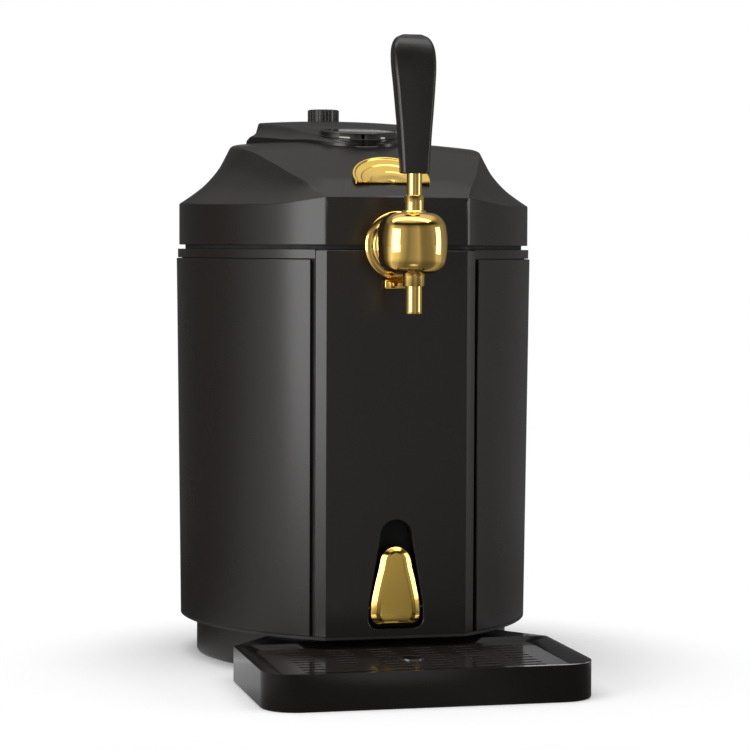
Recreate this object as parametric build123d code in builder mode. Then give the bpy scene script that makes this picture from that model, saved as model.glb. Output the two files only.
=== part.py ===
from build123d import *
import math
import os

os.makedirs("parts", exist_ok=True)

# The frame: +Z up, -Y towards the user, origin on the keg's axis at the foot's underside. Millimetres.

# Casing
body_half_width = 133.0
body_bottom_half_width = 129.8
front_plane = 143.65
crease_x = 51.0
body_bottom = 28.9
body_top = 304.0
panel_bottom = 31.0
panel_top = 297.0
panel_thickness = 2.2
front_thickness = 3.0
deck_thickness = 4.0
corner_strip = 8.5
groove_width = 3.5
rear_panel_half = 62.0

# Foot
foot_radius = 117.5
foot_wall = 3.0
pad_radius = 8.0
pad_depth = 2.0
pad_circle = 100.0
screw_radius = 1.6
screw_head_radius = 3.2
screw_seat = 6.0

# Chamber for a five litre keg
chamber_radius = 90.0
liner_wall = 1.2
chamber_floor = 42.0
liner_top = 300.0
foam_radius = 114.0

# Lid
lid_bottom = 307.0
lid_half_width = 131.0
lid_wall = 2.5
lid_edge_height = 340.5
hinge_y = 137.0
hinge_z = 306.0
hinge_radius = 2.5
hinge_clearance = 0.05
knuckle_radius = 5.5
crown_curvature = 0.0006
hood_level = 404.0
disc_centre_y = -19.0
disc_radius = 30.0
disc_front_height = 386.2
hood_break_y = 62.0
hood_rear_y = 120.5
knob_y = 106.0
knob_radius = 12.5

sleeve_z = 363.0
sleeve_radius = 12.5
sleeve_front = -12.0
sleeve_back = 80.0

# Tap
tap_y = -190.0
shank_z = 307.0
shank_radius = 10.0
rosette_radius = 24.0
tap_width = 46.0
tap_depth = 38.0
tap_height = 42.0
tap_centre_z = 308.5
ball_z = 331.0
ball_radius = 6.75
socket_clearance = 0.1
valve_z = 309.0
nozzle_bottom = 260.0
nozzle_radius = 5.85

# Drip tray
tray_half_width = 114.85
tray_front = 256.9
tray_side_back = 133.3
tray_height = 25.5
tray_corner = 24.5
tray_floor = 3.0
tray_wall = 2.6
grille_half_width = 100.0
grille_front = 246.0
grille_back = 135.5
grille_top = 22.3
grille_thickness = 1.5

# Drain lever in the front panel
lever_half_width = 18.0
lever_bottom = 38.5
lever_top = 94.0
recess_half_width = 19.6
recess_bottom = 35.7
recess_top = 113.3
recess_depth = 11.5
lever_pivot_y = -137.0
lever_pivot_z = 50.0
spout_y = -123.5

# Cooling unit
cooler_z = 170.0
cold_face_y = 104.0
sink_size = 80.0

gap = 0.3


def side_circle(half_width):
    """Centre x and radius of the arc from a front crease to the widest point of the right side."""
    spread = half_width - crease_x
    centre = (half_width + crease_x) / 2 - front_plane**2 / (2 * spread)
    return centre, half_width - centre


def casing_outline(half_width, inset=0.0):
    """The casing's plan outline: flat front, arched sides, round back."""
    centre, radius = side_circle(half_width)
    side = radius - inset
    front = front_plane - inset
    back = half_width - inset
    corner = centre + math.sqrt(side**2 - front**2)
    middle = math.atan2(-front, corner - centre) / 2
    bulge_x = centre + side * math.cos(middle)
    bulge_y = side * math.sin(middle)
    with BuildSketch() as outline:
        with BuildLine():
            Line((-corner, -front), (corner, -front))
            ThreePointArc((corner, -front), (bulge_x, bulge_y), (back, 0))
            ThreePointArc((back, 0), (0, back), (-back, 0))
            ThreePointArc((-back, 0), (-bulge_x, bulge_y), (-corner, -front))
        make_face()
    return outline.sketch


def half_width_at(height):
    """Half width of the casing at a height: the sides draw in towards the foot."""
    share = (height - panel_bottom) / (body_top - panel_bottom)
    return body_bottom_half_width + share * (body_half_width - body_bottom_half_width)


def casing_slab(low, high, inset):
    """The casing's full outline between two heights, moved in by inset."""
    with BuildPart() as slab:
        with BuildSketch(Plane.XY.offset(low)):
            add(casing_outline(half_width_at(low), inset))
        with BuildSketch(Plane.XY.offset(high)):
            add(casing_outline(half_width_at(high), inset))
        loft(ruled=True)
    return slab.part


def lid_slab(low, high, inset):
    """The lid's full outline between two heights, moved in by inset."""
    with BuildPart() as slab:
        with BuildSketch(Plane.XY.offset(low)):
            add(casing_outline(lid_half_width, inset))
        extrude(amount=high - low)
    return slab.part


def strip_end(distance):
    """A point on the side arc at a distance past the right crease, and the outward normal there."""
    centre, radius = side_circle(body_half_width)
    angle = math.atan2(-front_plane, crease_x - centre) + distance / radius
    normal = Vector(math.cos(angle), math.sin(angle))
    return Vector(centre, 0) + normal * radius, normal


def front_region(distance, low, high):
    """What lies in front of the cuts that stand square to the side arcs past each crease."""
    point, normal = strip_end(distance)
    outer = point + normal * 10
    inner = point - normal * 40
    with BuildPart() as region:
        with BuildSketch(Plane.XY.offset(low)):
            Polygon((outer.X, outer.Y), (outer.X, -200), (-outer.X, -200), (-outer.X, outer.Y),
                    (-inner.X, inner.Y), (inner.X, inner.Y), align=None)
        extrude(amount=high - low)
    return region.part


def front_shell(distance, low, high, thickness):
    """The casing's front wall, with the strips that it turns round both creases."""
    with BuildPart() as shell:
        add(casing_slab(low, high, 0))
        add(casing_slab(low, high, thickness), mode=Mode.SUBTRACT)
        add(front_region(distance, low, high), mode=Mode.INTERSECT)
    return shell.part


def bar(x, y, z, mode=Mode.ADD):
    """A box between two limits along each axis."""
    with Locations(((x[0] + x[1]) / 2, (y[0] + y[1]) / 2, (z[0] + z[1]) / 2)):
        Box(abs(x[1] - x[0]), abs(y[1] - y[0]), abs(z[1] - z[0]), mode=mode)


def post(x, y, radius, low, high, mode=Mode.ADD):
    """An upright cylinder between two heights."""
    with Locations((x, y, (low + high) / 2)):
        Cylinder(radius, high - low, mode=mode)


def rod_x(y, z, radius, low, high, mode=Mode.ADD):
    """A cylinder that runs from left to right."""
    with Locations(((low + high) / 2, y, z)):
        Cylinder(radius, abs(high - low), rotation=(0, 90, 0), mode=mode)


def rod_y(x, z, radius, low, high, mode=Mode.ADD):
    """A cylinder that runs from front to back."""
    with Locations((x, (low + high) / 2, z)):
        Cylinder(radius, abs(high - low), rotation=(90, 0, 0), mode=mode)


# ---------------------------------------------------------------- foot

pad_angles = (45, 135, 225, 315)
tongue_x = 40.0
tongue_half = 9.0
tongue_low = 9.0
tongue_high = 13.0

with BuildPart() as foot_base:
    post(0, 0, foot_radius, 0, body_bottom)
    fillet(foot_base.edges().group_by(Axis.Z)[0], 2.0)
    post(0, 0, foot_radius - foot_wall, foot_wall, body_bottom, Mode.SUBTRACT)
    with PolarLocations(pad_circle, 4, start_angle=45):
        Cylinder(pad_radius, 2 * pad_depth, mode=Mode.SUBTRACT)
    with PolarLocations(pad_circle, 4):
        Cylinder(6, body_bottom, align=(Align.CENTER, Align.CENTER, Align.MIN))
        Cylinder(screw_head_radius + gap, 2 * screw_seat, mode=Mode.SUBTRACT)
        Cylinder(screw_radius, 3 * body_bottom, mode=Mode.SUBTRACT)
    for side in (-1, 1):
        bar((side * tongue_x - tongue_half - 1, side * tongue_x + tongue_half + 1), (-120, -104),
            (tongue_low - 1, tongue_high + 1), Mode.SUBTRACT)
    with Locations((0, 68, 0)):
        with GridLocations(9, 1, 8, 1):
            Box(4, 30, 4 * foot_wall, mode=Mode.SUBTRACT)
foot_base.part.label = "foot_base"
export_step(foot_base.part, "parts/foot_base.step")

with BuildPart() as foot_pads:
    with PolarLocations(pad_circle, 4, start_angle=45):
        Cylinder(pad_radius, pad_depth, align=(Align.CENTER, Align.CENTER, Align.MIN))
foot_pads.part.label = "foot_pads"
export_step(foot_pads.part, "parts/foot_pads.step")

board_low = 8.0
board_high = 9.6

with BuildPart() as power_board:
    bar((-45, 45), (8, 48), (board_low, board_high))
    bar((-38, -12), (14, 40), (board_high, 24))
    bar((-4, 12), (14, 42), (board_high, 22))
    for x in (22, 36):
        post(x, 20, 5.5, board_high, 26)
    with Locations((0, 28, foot_wall)):
        with GridLocations(82, 32, 2, 2):
            Cylinder(2.5, board_low - foot_wall, align=(Align.CENTER, Align.CENTER, Align.MIN))
power_board.part.label = "power_board"
export_step(power_board.part, "parts/power_board.step")

# ---------------------------------------------------------------- casing

post_depth = 12.0
post_width = 16.0
post_setback = 4.0
rear_post_radius = 6.0
rear_post_circle = 120.9
groove_point, groove_normal = strip_end(corner_strip + groove_width / 2)
rear_joint_angle = math.acos(rear_panel_half / body_bottom_half_width)
floor_plate_top = 33.0

with BuildPart() as bottom_plate:
    add(casing_slab(body_bottom, panel_bottom, 0))
    add(casing_slab(panel_bottom, floor_plate_top, front_thickness + gap))
    post(0, 0, 60, body_bottom, floor_plate_top, Mode.SUBTRACT)
    post(0, spout_y, 6.5 + gap, body_bottom, floor_plate_top, Mode.SUBTRACT)
    with PolarLocations(pad_circle, 4):
        Cylinder(screw_radius, 3 * body_bottom, mode=Mode.SUBTRACT)
bottom_plate.part.label = "bottom_plate"
export_step(bottom_plate.part, "parts/bottom_plate.step")

with BuildPart() as corner_posts:
    for side in (-1, 1):
        centre = groove_point - groove_normal * (post_setback + post_depth / 2)
        plane = Plane(origin=(side * centre.X, centre.Y, floor_plate_top),
                      x_dir=(-side * groove_normal.Y, groove_normal.X, 0), z_dir=(0, 0, 1))
        with BuildSketch(plane):
            Rectangle(post_width, post_depth)
        extrude(amount=body_top - deck_thickness - floor_plate_top)
        post(side * rear_post_circle * math.cos(rear_joint_angle), rear_post_circle * math.sin(rear_joint_angle),
             rear_post_radius, floor_plate_top, body_top - deck_thickness)
corner_posts.part.label = "corner_posts"
export_step(corner_posts.part, "parts/corner_posts.step")

notch_radius = 12.5

with BuildPart() as front_panel:
    add(front_shell(corner_strip, panel_bottom, body_top - 0.5, front_thickness))
    rod_y(0, shank_z, notch_radius, -160, -130, Mode.SUBTRACT)
    with BuildSketch(Plane.XZ.offset(front_plane)) as recess_shape:
        with BuildLine():
            left = FilletPolyline((-recess_half_width, recess_bottom + 18), (-recess_half_width - 0.6, recess_bottom),
                                  (recess_half_width + 0.6, recess_bottom), (recess_half_width, recess_bottom + 18),
                                  radius=7)
            Line((-recess_half_width, recess_bottom + 18), (-11.4, recess_top - 11))
            ThreePointArc((-11.4, recess_top - 11), (0, recess_top), (11.4, recess_top - 11))
            Line((11.4, recess_top - 11), (recess_half_width, recess_bottom + 18))
        make_face()
    extrude(amount=-front_thickness, mode=Mode.SUBTRACT)
front_panel.part.label = "front_panel"
export_step(front_panel.part, "parts/front_panel.step")

with BuildPart() as lever_recess:
    with BuildSketch(Plane.XZ.offset(front_plane - front_thickness)):
        add(recess_shape.sketch_local)
        offset(amount=2.2)
    extrude(amount=-(recess_depth - front_thickness + 2))
    with BuildSketch(Plane.XZ.offset(front_plane - front_thickness)):
        add(recess_shape.sketch_local)
    extrude(amount=-(recess_depth - front_thickness), mode=Mode.SUBTRACT)
    bar((-6, 6), (-133, -128), (44, 66), Mode.SUBTRACT)
    rod_x(lever_pivot_y, lever_pivot_z, 1.5, -21, 21, Mode.SUBTRACT)
lever_recess.part.label = "lever_recess"
export_step(lever_recess.part, "parts/lever_recess.step")

panel_start = strip_end(corner_strip + groove_width)


def side_region(side):
    """What lies on one side of the casing, from the groove to the rear panel."""
    point, normal = panel_start
    outer = point + normal * 10
    inner = point - normal * 40
    with BuildPart() as region:
        with BuildSketch(Plane.XY.offset(panel_bottom)):
            Polygon((side * outer.X, outer.Y), (side * 160, outer.Y), (side * 160, 150),
                    (side * (rear_panel_half + gap), 150), (side * (rear_panel_half + gap), 60),
                    (side * inner.X, inner.Y), align=None)
        extrude(amount=panel_top - panel_bottom)
    return region.part


with BuildPart() as side_panel_left:
    add(casing_slab(panel_bottom, panel_top, 0))
    add(casing_slab(panel_bottom, panel_top, panel_thickness), mode=Mode.SUBTRACT)
    add(side_region(-1), mode=Mode.INTERSECT)
side_panel_left.part.label = "side_panel_left"
export_step(side_panel_left.part, "parts/side_panel_left.step")

with BuildPart() as side_panel_right:
    add(casing_slab(panel_bottom, panel_top, 0))
    add(casing_slab(panel_bottom, panel_top, panel_thickness), mode=Mode.SUBTRACT)
    add(side_region(1), mode=Mode.INTERSECT)
side_panel_right.part.label = "side_panel_right"
export_step(side_panel_right.part, "parts/side_panel_right.step")

vent_half = 46.0
vent_low = 122.0
vent_high = 218.0
inlet_x = 36.0
inlet_z = 62.0

with BuildPart() as rear_panel:
    add(casing_slab(panel_bottom, panel_top, 0))
    add(casing_slab(panel_bottom, panel_top, panel_thickness), mode=Mode.SUBTRACT)
    bar((-rear_panel_half, rear_panel_half), (60, 150), (panel_bottom, panel_top), Mode.INTERSECT)
    bar((-vent_half, vent_half), (90, 150), (vent_low, vent_high), Mode.SUBTRACT)
    bar((inlet_x - 13, inlet_x + 13), (90, 150), (inlet_z - 9, inlet_z + 9), Mode.SUBTRACT)
rear_panel.part.label = "rear_panel"
export_step(rear_panel.part, "parts/rear_panel.step")

hook_x = 30.0
hook_half = 5.0
keeper_front = -131.4
keeper_back = -112.0
keeper_half = 37.0

with BuildPart() as top_deck:
    add(casing_slab(panel_top + 0.5, body_top, 1.0))
    add(casing_slab(panel_top + 0.5, body_top - deck_thickness, 3.6), mode=Mode.SUBTRACT)
    post(0, 0, chamber_radius + liner_wall + 0.8, panel_top, body_top, Mode.SUBTRACT)
    add(front_shell(corner_strip + gap, panel_top, body_top + 1, front_thickness + gap), mode=Mode.SUBTRACT)
    bar((-keeper_half - gap, keeper_half + gap), (-150, keeper_back + gap), (panel_top, body_top), Mode.SUBTRACT)
    rod_y(0, shank_z, shank_radius + gap, -160, -80, Mode.SUBTRACT)
top_deck.part.label = "top_deck"
export_step(top_deck.part, "parts/top_deck.step")

with BuildPart() as hinge_bracket:
    rod_x(hinge_y, hinge_z, knuckle_radius, -27, 27)
    bar((-27, 27), (128.5, 137), (300.6, 304.8))
    bar((-27, 27), (116, 129.5), (body_top, body_top + 2))
    add(casing_slab(panel_top + 0.5, body_top, 1.0), mode=Mode.SUBTRACT)
    rod_x(hinge_y, hinge_z, hinge_radius, -28, 28, Mode.SUBTRACT)
hinge_bracket.part.label = "hinge_bracket"
export_step(hinge_bracket.part, "parts/hinge_bracket.step")

with BuildPart() as hinge_pin:
    rod_x(hinge_y, hinge_z, hinge_radius, -45, 45)
    for side in (-1, 1):
        rod_x(hinge_y, hinge_z, 4.0, side * 46, side * 44.5)
hinge_pin.part.label = "hinge_pin"
export_step(hinge_pin.part, "parts/hinge_pin.step")

# ---------------------------------------------------------------- chamber and cooling

drain_y = -78.0

with BuildPart() as cooling_liner:
    post(0, 0, chamber_radius + liner_wall, chamber_floor - liner_wall, liner_top - 1.2)
    post(0, 0, 97, liner_top - 1.2, liner_top)
    post(0, 0, chamber_radius, chamber_floor, liner_top, Mode.SUBTRACT)
    post(0, drain_y, 4, 36, chamber_floor - liner_wall)
    post(0, drain_y, 2.8, 35, chamber_floor, Mode.SUBTRACT)
cooling_liner.part.label = "cooling_liner"
export_step(cooling_liner.part, "parts/cooling_liner.step")

with BuildPart() as insulation_jacket:
    post(0, 0, foam_radius, chamber_floor - 1.5, 297)
    post(0, 0, chamber_radius + liner_wall + gap, chamber_floor - 2, 298, Mode.SUBTRACT)
    bar((-28, 28), (80, 120), (cooler_z - 32, cooler_z + 32), Mode.SUBTRACT)
    bar((-45, 45), (105, 120), (vent_low, vent_high), Mode.SUBTRACT)
insulation_jacket.part.label = "insulation_jacket"
export_step(insulation_jacket.part, "parts/insulation_jacket.step")

tube_z = 37.5

with BuildPart() as floor_insulation:
    post(0, 0, 88, floor_plate_top + 0.2, chamber_floor - liner_wall - 0.3)
    bar((-7, 7), (-90, -70), (floor_plate_top, chamber_floor), Mode.SUBTRACT)
floor_insulation.part.label = "floor_insulation"
export_step(floor_insulation.part, "parts/floor_insulation.step")

with BuildPart() as cold_block:
    bar((-25, 25), (60, cold_face_y), (cooler_z - 25, cooler_z + 25))
    post(0, 0, chamber_radius + liner_wall, cooler_z - 30, cooler_z + 30, Mode.SUBTRACT)
cold_block.part.label = "cold_block"
export_step(cold_block.part, "parts/cold_block.step")

sink_front = cold_face_y + 3.8
sink_back = 132.0

with BuildPart() as peltier_module:
    bar((-20, 20), (cold_face_y, sink_front), (cooler_z - 20, cooler_z + 20))
peltier_module.part.label = "peltier_module"
export_step(peltier_module.part, "parts/peltier_module.step")

with BuildPart() as heat_sink:
    bar((-sink_size / 2, sink_size / 2), (sink_front, sink_front + 4), (cooler_z - sink_size / 2, cooler_z + sink_size / 2))
    with Locations((0, (sink_front + 4 + sink_back) / 2, cooler_z)):
        with GridLocations(sink_size / 11.4, 1, 12, 1):
            Box(1.4, sink_back - sink_front - 4, sink_size)
heat_sink.part.label = "heat_sink"
export_step(heat_sink.part, "parts/heat_sink.step")

fan_back = 146.0
fan_bore = 37.5

with BuildPart() as fan_frame:
    bar((-40, 40), (sink_back, fan_back), (cooler_z - 40, cooler_z + 40))
    fillet(fan_frame.edges().filter_by(Axis.Y), 4)
    rod_y(0, cooler_z, fan_bore, sink_back, fan_back, Mode.SUBTRACT)
    rod_y(0, cooler_z, 17, fan_back - 1.6, fan_back)
    with Locations((0, fan_back - 0.8, cooler_z)):
        Box(2 * fan_bore, 1.6, 4)
        Box(4, 1.6, 2 * fan_bore)
    rod_y(0, cooler_z, 1.5, sink_back + 4, fan_back - 1.6)
    with Locations((0, (sink_back + fan_back) / 2, cooler_z)):
        with Locations(Plane.XZ):
            with GridLocations(71.5, 71.5, 2, 2):
                Cylinder(2.2, 20, mode=Mode.SUBTRACT)
fan_frame.part.label = "fan_frame"
export_step(fan_frame.part, "parts/fan_frame.step")

blade_count = 7

with BuildPart() as fan_rotor:
    rod_y(0, cooler_z, 16.5, sink_back + 1, fan_back - 2.2)
    for index in range(blade_count):
        plane = Plane(origin=(0, 137.8, cooler_z), x_dir=(1, 0, 0), z_dir=(0, -1, 0))
        turned = plane.rotated((0, 0, index * 360 / blade_count)).rotated((32, 0, 0))
        with BuildSketch(turned):
            with Locations((25.5, 0)):
                Rectangle(21, 13)
        extrude(amount=0.7, both=True)
    rod_y(0, cooler_z, 60, sink_back - 8, sink_back + 1, Mode.SUBTRACT)
    rod_y(0, cooler_z, 60, fan_back - 2.2, fan_back + 8, Mode.SUBTRACT)
    rod_y(0, cooler_z, 36.4, sink_back, fan_back, Mode.INTERSECT)
    rod_y(0, cooler_z, 1.55, sink_back + 3, fan_back, Mode.SUBTRACT)
fan_rotor.part.label = "fan_rotor"
export_step(fan_rotor.part, "parts/fan_rotor.step")

cover_half = 52.0
cover_low = 112.0
cover_high = 232.0
cover_back = 151.0
cover_wall = 2.4

with BuildPart() as rear_cover:
    bar((-cover_half, cover_half), (110, cover_back), (cover_low, cover_high))
    fillet(rear_cover.edges().filter_by(Axis.Y), 10)
    chamfer(rear_cover.faces().sort_by(Axis.Y)[-1].edges(), 4)
    bar((-cover_half + cover_wall, cover_half - cover_wall), (100, cover_back - cover_wall),
        (cover_low + cover_wall, cover_high - cover_wall), Mode.SUBTRACT)
    add(casing_slab(cover_low - 5, cover_high + 5, 0), mode=Mode.SUBTRACT)
    with Locations((0, cover_back, cooler_z)):
        with GridLocations(8.4, 1, 9, 1):
            Box(4.2, 12, 72, mode=Mode.SUBTRACT)
rear_cover.part.label = "rear_cover"
export_step(rear_cover.part, "parts/rear_cover.step")

with BuildPart() as power_inlet:
    bar((inlet_x - 12.7, inlet_x + 12.7), (112, 127), (inlet_z - 8.7, inlet_z + 8.7))
    bar((inlet_x - 8.5, inlet_x + 8.5), (117, 127), (inlet_z - 4.6, inlet_z + 4.6), Mode.SUBTRACT)
    for side in (-1, 1):
        rod_y(inlet_x + side * 4.3, inlet_z, 1.2, 116, 125)
power_inlet.part.label = "power_inlet"
export_step(power_inlet.part, "parts/power_inlet.step")

# ---------------------------------------------------------------- drain

with BuildPart() as drain_lever:
    with BuildSketch(Plane.XZ.offset(front_plane + 1.5)) as drop_shape:
        with BuildLine():
            FilletPolyline((-lever_half_width + 0.5, lever_bottom + 18), (-lever_half_width, lever_bottom),
                           (lever_half_width, lever_bottom), (lever_half_width - 0.5, lever_bottom + 18), radius=6.5)
            Line((-lever_half_width + 0.5, lever_bottom + 18), (-10.8, lever_top - 11.5))
            ThreePointArc((-10.8, lever_top - 11.5), (0, lever_top), (10.8, lever_top - 11.5))
            Line((10.8, lever_top - 11.5), (lever_half_width - 0.5, lever_bottom + 18))
        make_face()
    extrude(amount=-5)
    chamfer(drain_lever.faces().sort_by(Axis.Y)[0].edges(), 2)
    rod_x(lever_pivot_y, lever_pivot_z, 3.6, -11, 11)
    bar((-11, 11), (-141, lever_pivot_y), (lever_pivot_z - 3.5, lever_pivot_z + 3.5))
    bar((-4.5, 4.5), (lever_pivot_y, spout_y + 2.6), (lever_pivot_z - 2.2, lever_pivot_z + 2.2))
    bar((-1.8, 1.8), (spout_y - 2.6, spout_y + 3), (lever_pivot_z - 4, lever_pivot_z + 4), Mode.SUBTRACT)
    rod_x(lever_pivot_y, lever_pivot_z, 1.55, -20, 20, Mode.SUBTRACT)
drain_lever.part.label = "drain_lever"
export_step(drain_lever.part, "parts/drain_lever.step")

with BuildPart() as drain_lever_pin:
    rod_x(lever_pivot_y, lever_pivot_z, 1.5, -21, 21)
drain_lever_pin.part.label = "drain_lever_pin"
export_step(drain_lever_pin.part, "parts/drain_lever_pin.step")

with BuildPart() as drain_lever_spring:
    for turn in range(3):
        rod_x(lever_pivot_y, lever_pivot_z, 3.0, 11.6 + turn * 1.2, 12.5 + turn * 1.2)
    bar((11.6, 15.0), (lever_pivot_y + 1, lever_pivot_y + 4.4), (lever_pivot_z - 0.5, lever_pivot_z + 0.5))
    rod_x(lever_pivot_y, lever_pivot_z, 1.9, 11, 16, Mode.SUBTRACT)
drain_lever_spring.part.label = "drain_lever_spring"
export_step(drain_lever_spring.part, "parts/drain_lever_spring.step")

housing_top = 46.0
seat_z = 33.0

with BuildPart() as drain_valve_housing:
    post(0, spout_y, 6.5, body_bottom, housing_top)
    post(0, spout_y, 3.5, 27, body_bottom)
    bar((-6.5, 6.5), (spout_y, -112), (floor_plate_top + 0.2, 40.2))
    post(0, spout_y, 4.2, seat_z, housing_top, Mode.SUBTRACT)
    post(0, spout_y, 2.2, 26, seat_z, Mode.SUBTRACT)
    rod_y(0, tube_z, 3, -118, -110, Mode.SUBTRACT)
    rod_y(0, tube_z, 2, spout_y, -110, Mode.SUBTRACT)
drain_valve_housing.part.label = "drain_valve_housing"
export_step(drain_valve_housing.part, "parts/drain_valve_housing.step")

with BuildPart() as drain_plug:
    post(0, spout_y, 3.7, seat_z, seat_z + 2.4)
    post(0, spout_y, 1.4, seat_z + 2.4, 55)
    post(0, spout_y, 3.6, 53, 56)
drain_plug.part.label = "drain_plug"
export_step(drain_plug.part, "parts/drain_plug.step")

with BuildPart() as drain_tube:
    rod_y(0, tube_z, 3, -118, drain_y)
    post(0, drain_y, 5.2, 34.2, 40.4)
    post(0, drain_y, 4.0, 36, 41, Mode.SUBTRACT)
    rod_y(0, tube_z, 2, -119, drain_y, Mode.SUBTRACT)
drain_tube.part.label = "drain_tube"
export_step(drain_tube.part, "parts/drain_tube.step")

# ---------------------------------------------------------------- lid


def scoop_profile(inset):
    """Points of the concave flank at the widest place, as half width and height, moved in by inset."""
    return (lid_half_width - 0.5 - inset, 338.5 - inset), (112.5 - inset, 352.5 - inset), (92.5 - inset, 385 - inset)


def flank_profile(side, inset):
    """The region above the concave flank, on one side of the lid's middle plane."""
    low, middle, high = scoop_profile(inset)
    with BuildSketch(Plane.XZ) as profile:
        with BuildLine():
            Line((side * 300, low[1] - 28), (side * (low[0] + 30), low[1] - 28))
            Line((side * (low[0] + 30), low[1] - 28), (side * low[0], low[1]))
            ThreePointArc((side * low[0], low[1]), (side * middle[0], middle[1]), (side * high[0], high[1]))
            Line((side * high[0], high[1]), (side * (high[0] - 10), 430))
            Line((side * (high[0] - 10), 430), (side * 300, 430))
            Line((side * 300, 430), (side * 300, low[1] - 28))
        make_face()
    return profile.sketch


def flank_cutter(inset):
    """The scoop along both flanks and round the back, turned about the centres of the plan's arcs."""
    centre = side_circle(lid_half_width)[0]
    with BuildPart() as cutter:
        revolve(flank_profile(1, inset), axis=Axis((centre, 0, 0), (0, 0, 1)), revolution_arc=-90)
        revolve(flank_profile(-1, inset), axis=Axis((-centre, 0, 0), (0, 0, 1)), revolution_arc=90)
        revolve(flank_profile(1, inset), axis=Axis.Z, revolution_arc=180)
    return cutter.part


def crown_height(y):
    """Height of the crown's centre line: a steep lip, a long slope, then nearly level."""
    line = ((-150, 336.2), (-125, 352.6), (-51, 379), (0, 386), (60, 388), (140, 388))
    for (y0, z0), (y1, z1) in zip(line, line[1:]):
        if y <= y1:
            return z0 + (z1 - z0) * (y - y0) / (y1 - y0)
    return line[-1][1]


def lid_form(low, inset):
    """The lid's whole form above a height: the outline, the arched crown and the two scoops."""
    reach = 140
    with BuildPart() as form:
        for y in (-150, -125, -51, 0, 140):
            top = crown_height(y) - inset
            edge = top - crown_curvature * reach**2
            with BuildSketch(Plane.XZ.offset(-y)):
                with BuildLine():
                    Line((-reach, 300), (reach, 300))
                    Line((reach, 300), (reach, edge))
                    ThreePointArc((reach, edge), (0, top), (-reach, edge))
                    Line((-reach, edge), (-reach, 300))
                make_face()
        loft(ruled=True)
        add(lid_slab(low, 400, inset), mode=Mode.INTERSECT)
        add(flank_cutter(inset), mode=Mode.SUBTRACT)
    return form.part


lid_outside = lid_form(lid_bottom, 0)
lid_inside = lid_form(lid_bottom - 1, lid_wall)

latch_pivot_y = -124.0
latch_pivot_z = 344.5
neck_radius = 7.0

with BuildPart() as lid_shell:
    add(lid_outside)
    add(lid_inside, mode=Mode.SUBTRACT)
    for side in (-1, 1):
        rod_x(hinge_y, hinge_z, knuckle_radius, side * 28, side * 43)
        bar((min(side * 28, side * 43), max(side * 28, side * 43)), (126.5, hinge_y), (lid_bottom + 0.5, 311.5))
    rod_x(hinge_y, hinge_z, hinge_radius + hinge_clearance, -50, 50, Mode.SUBTRACT)
    rod_y(0, shank_z, notch_radius, -160, -130, Mode.SUBTRACT)
    bar((-16, 16), (-126, -107), (345, 370), Mode.SUBTRACT)
    post(0, knob_y, 12, 340, 400, Mode.SUBTRACT)
    bar((-9.5, 9.5), (sleeve_back + 2, knob_y), (345, 400), Mode.SUBTRACT)
    post(0, disc_centre_y + 8, 16, 370, 400, Mode.SUBTRACT)
lid_shell.part.label = "lid_shell"
export_step(lid_shell.part, "parts/lid_shell.step")

liner_rim = 308.2
ceiling = 340.0
pocket_top = 378.0
pocket_half = 19.0
pocket_front = -18.0
pocket_back = 82.0

with BuildPart() as lid_liner:
    add(lid_slab(liner_rim, liner_rim + 2, 3.2))
    add(lid_slab(liner_rim, ceiling, 16))
    add(lid_slab(liner_rim - 1, ceiling - 2, 18), mode=Mode.SUBTRACT)
    add(lid_slab(liner_rim + 2, ceiling - 2, 18), mode=Mode.SUBTRACT)
    bar((-pocket_half, pocket_half), (pocket_front, pocket_back), (ceiling - 10, ceiling + 1), Mode.SUBTRACT)
    rod_y(0, shank_z, notch_radius + 1.5, -150, -120, Mode.SUBTRACT)
    bar((-24, 24), (-126, -95), (liner_rim - 1, ceiling - 12), Mode.SUBTRACT)
    for side in (-1, 1):
        bar((side * hook_x - hook_half - 1, side * hook_x + hook_half + 1), (-142, keeper_front),
            (liner_rim - 1, liner_rim + 3), Mode.SUBTRACT)
        bar((side * hook_x - hook_half - 1, side * hook_x + hook_half + 1), (-142, -124.5),
            (ceiling - 2.5, ceiling + 1), Mode.SUBTRACT)
lid_liner.part.label = "lid_liner"
export_step(lid_liner.part, "parts/lid_liner.step")

with BuildPart() as gas_bay:
    bar((-pocket_half - 2, pocket_half + 2), (pocket_front - 2, pocket_back + 2), (ceiling, pocket_top))
    bar((-pocket_half - 6, pocket_half + 6), (pocket_front - 6, pocket_back + 6), (ceiling, ceiling + 1.6))
    bar((-pocket_half, pocket_half), (pocket_front, pocket_back), (ceiling - 1, pocket_top - 2), Mode.SUBTRACT)
    bar((-9, 9), (pocket_back - 1, pocket_back + 3), (354, 372), Mode.SUBTRACT)
gas_bay.part.label = "gas_bay"
export_step(gas_bay.part, "parts/gas_bay.step")

with BuildPart() as lid_gasket:
    add(lid_slab(body_top + gap, liner_rim, 12.8))
    add(lid_slab(body_top, liner_rim + 1, 15.8), mode=Mode.SUBTRACT)
    bar((-16, 16), (-150, -120), (body_top, liner_rim), Mode.SUBTRACT)
    bar((-30, 30), (110, 125), (body_top, body_top + 2.4), Mode.SUBTRACT)
lid_gasket.part.label = "lid_gasket"
export_step(lid_gasket.part, "parts/lid_gasket.step")

# Hood over the controls and the gas regulator

hood_slope = (hood_level - disc_front_height) / (hood_break_y - disc_centre_y + disc_radius)
hood_angle = math.degrees(math.atan(hood_slope))
disc_height = disc_front_height + hood_slope * disc_radius


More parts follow.
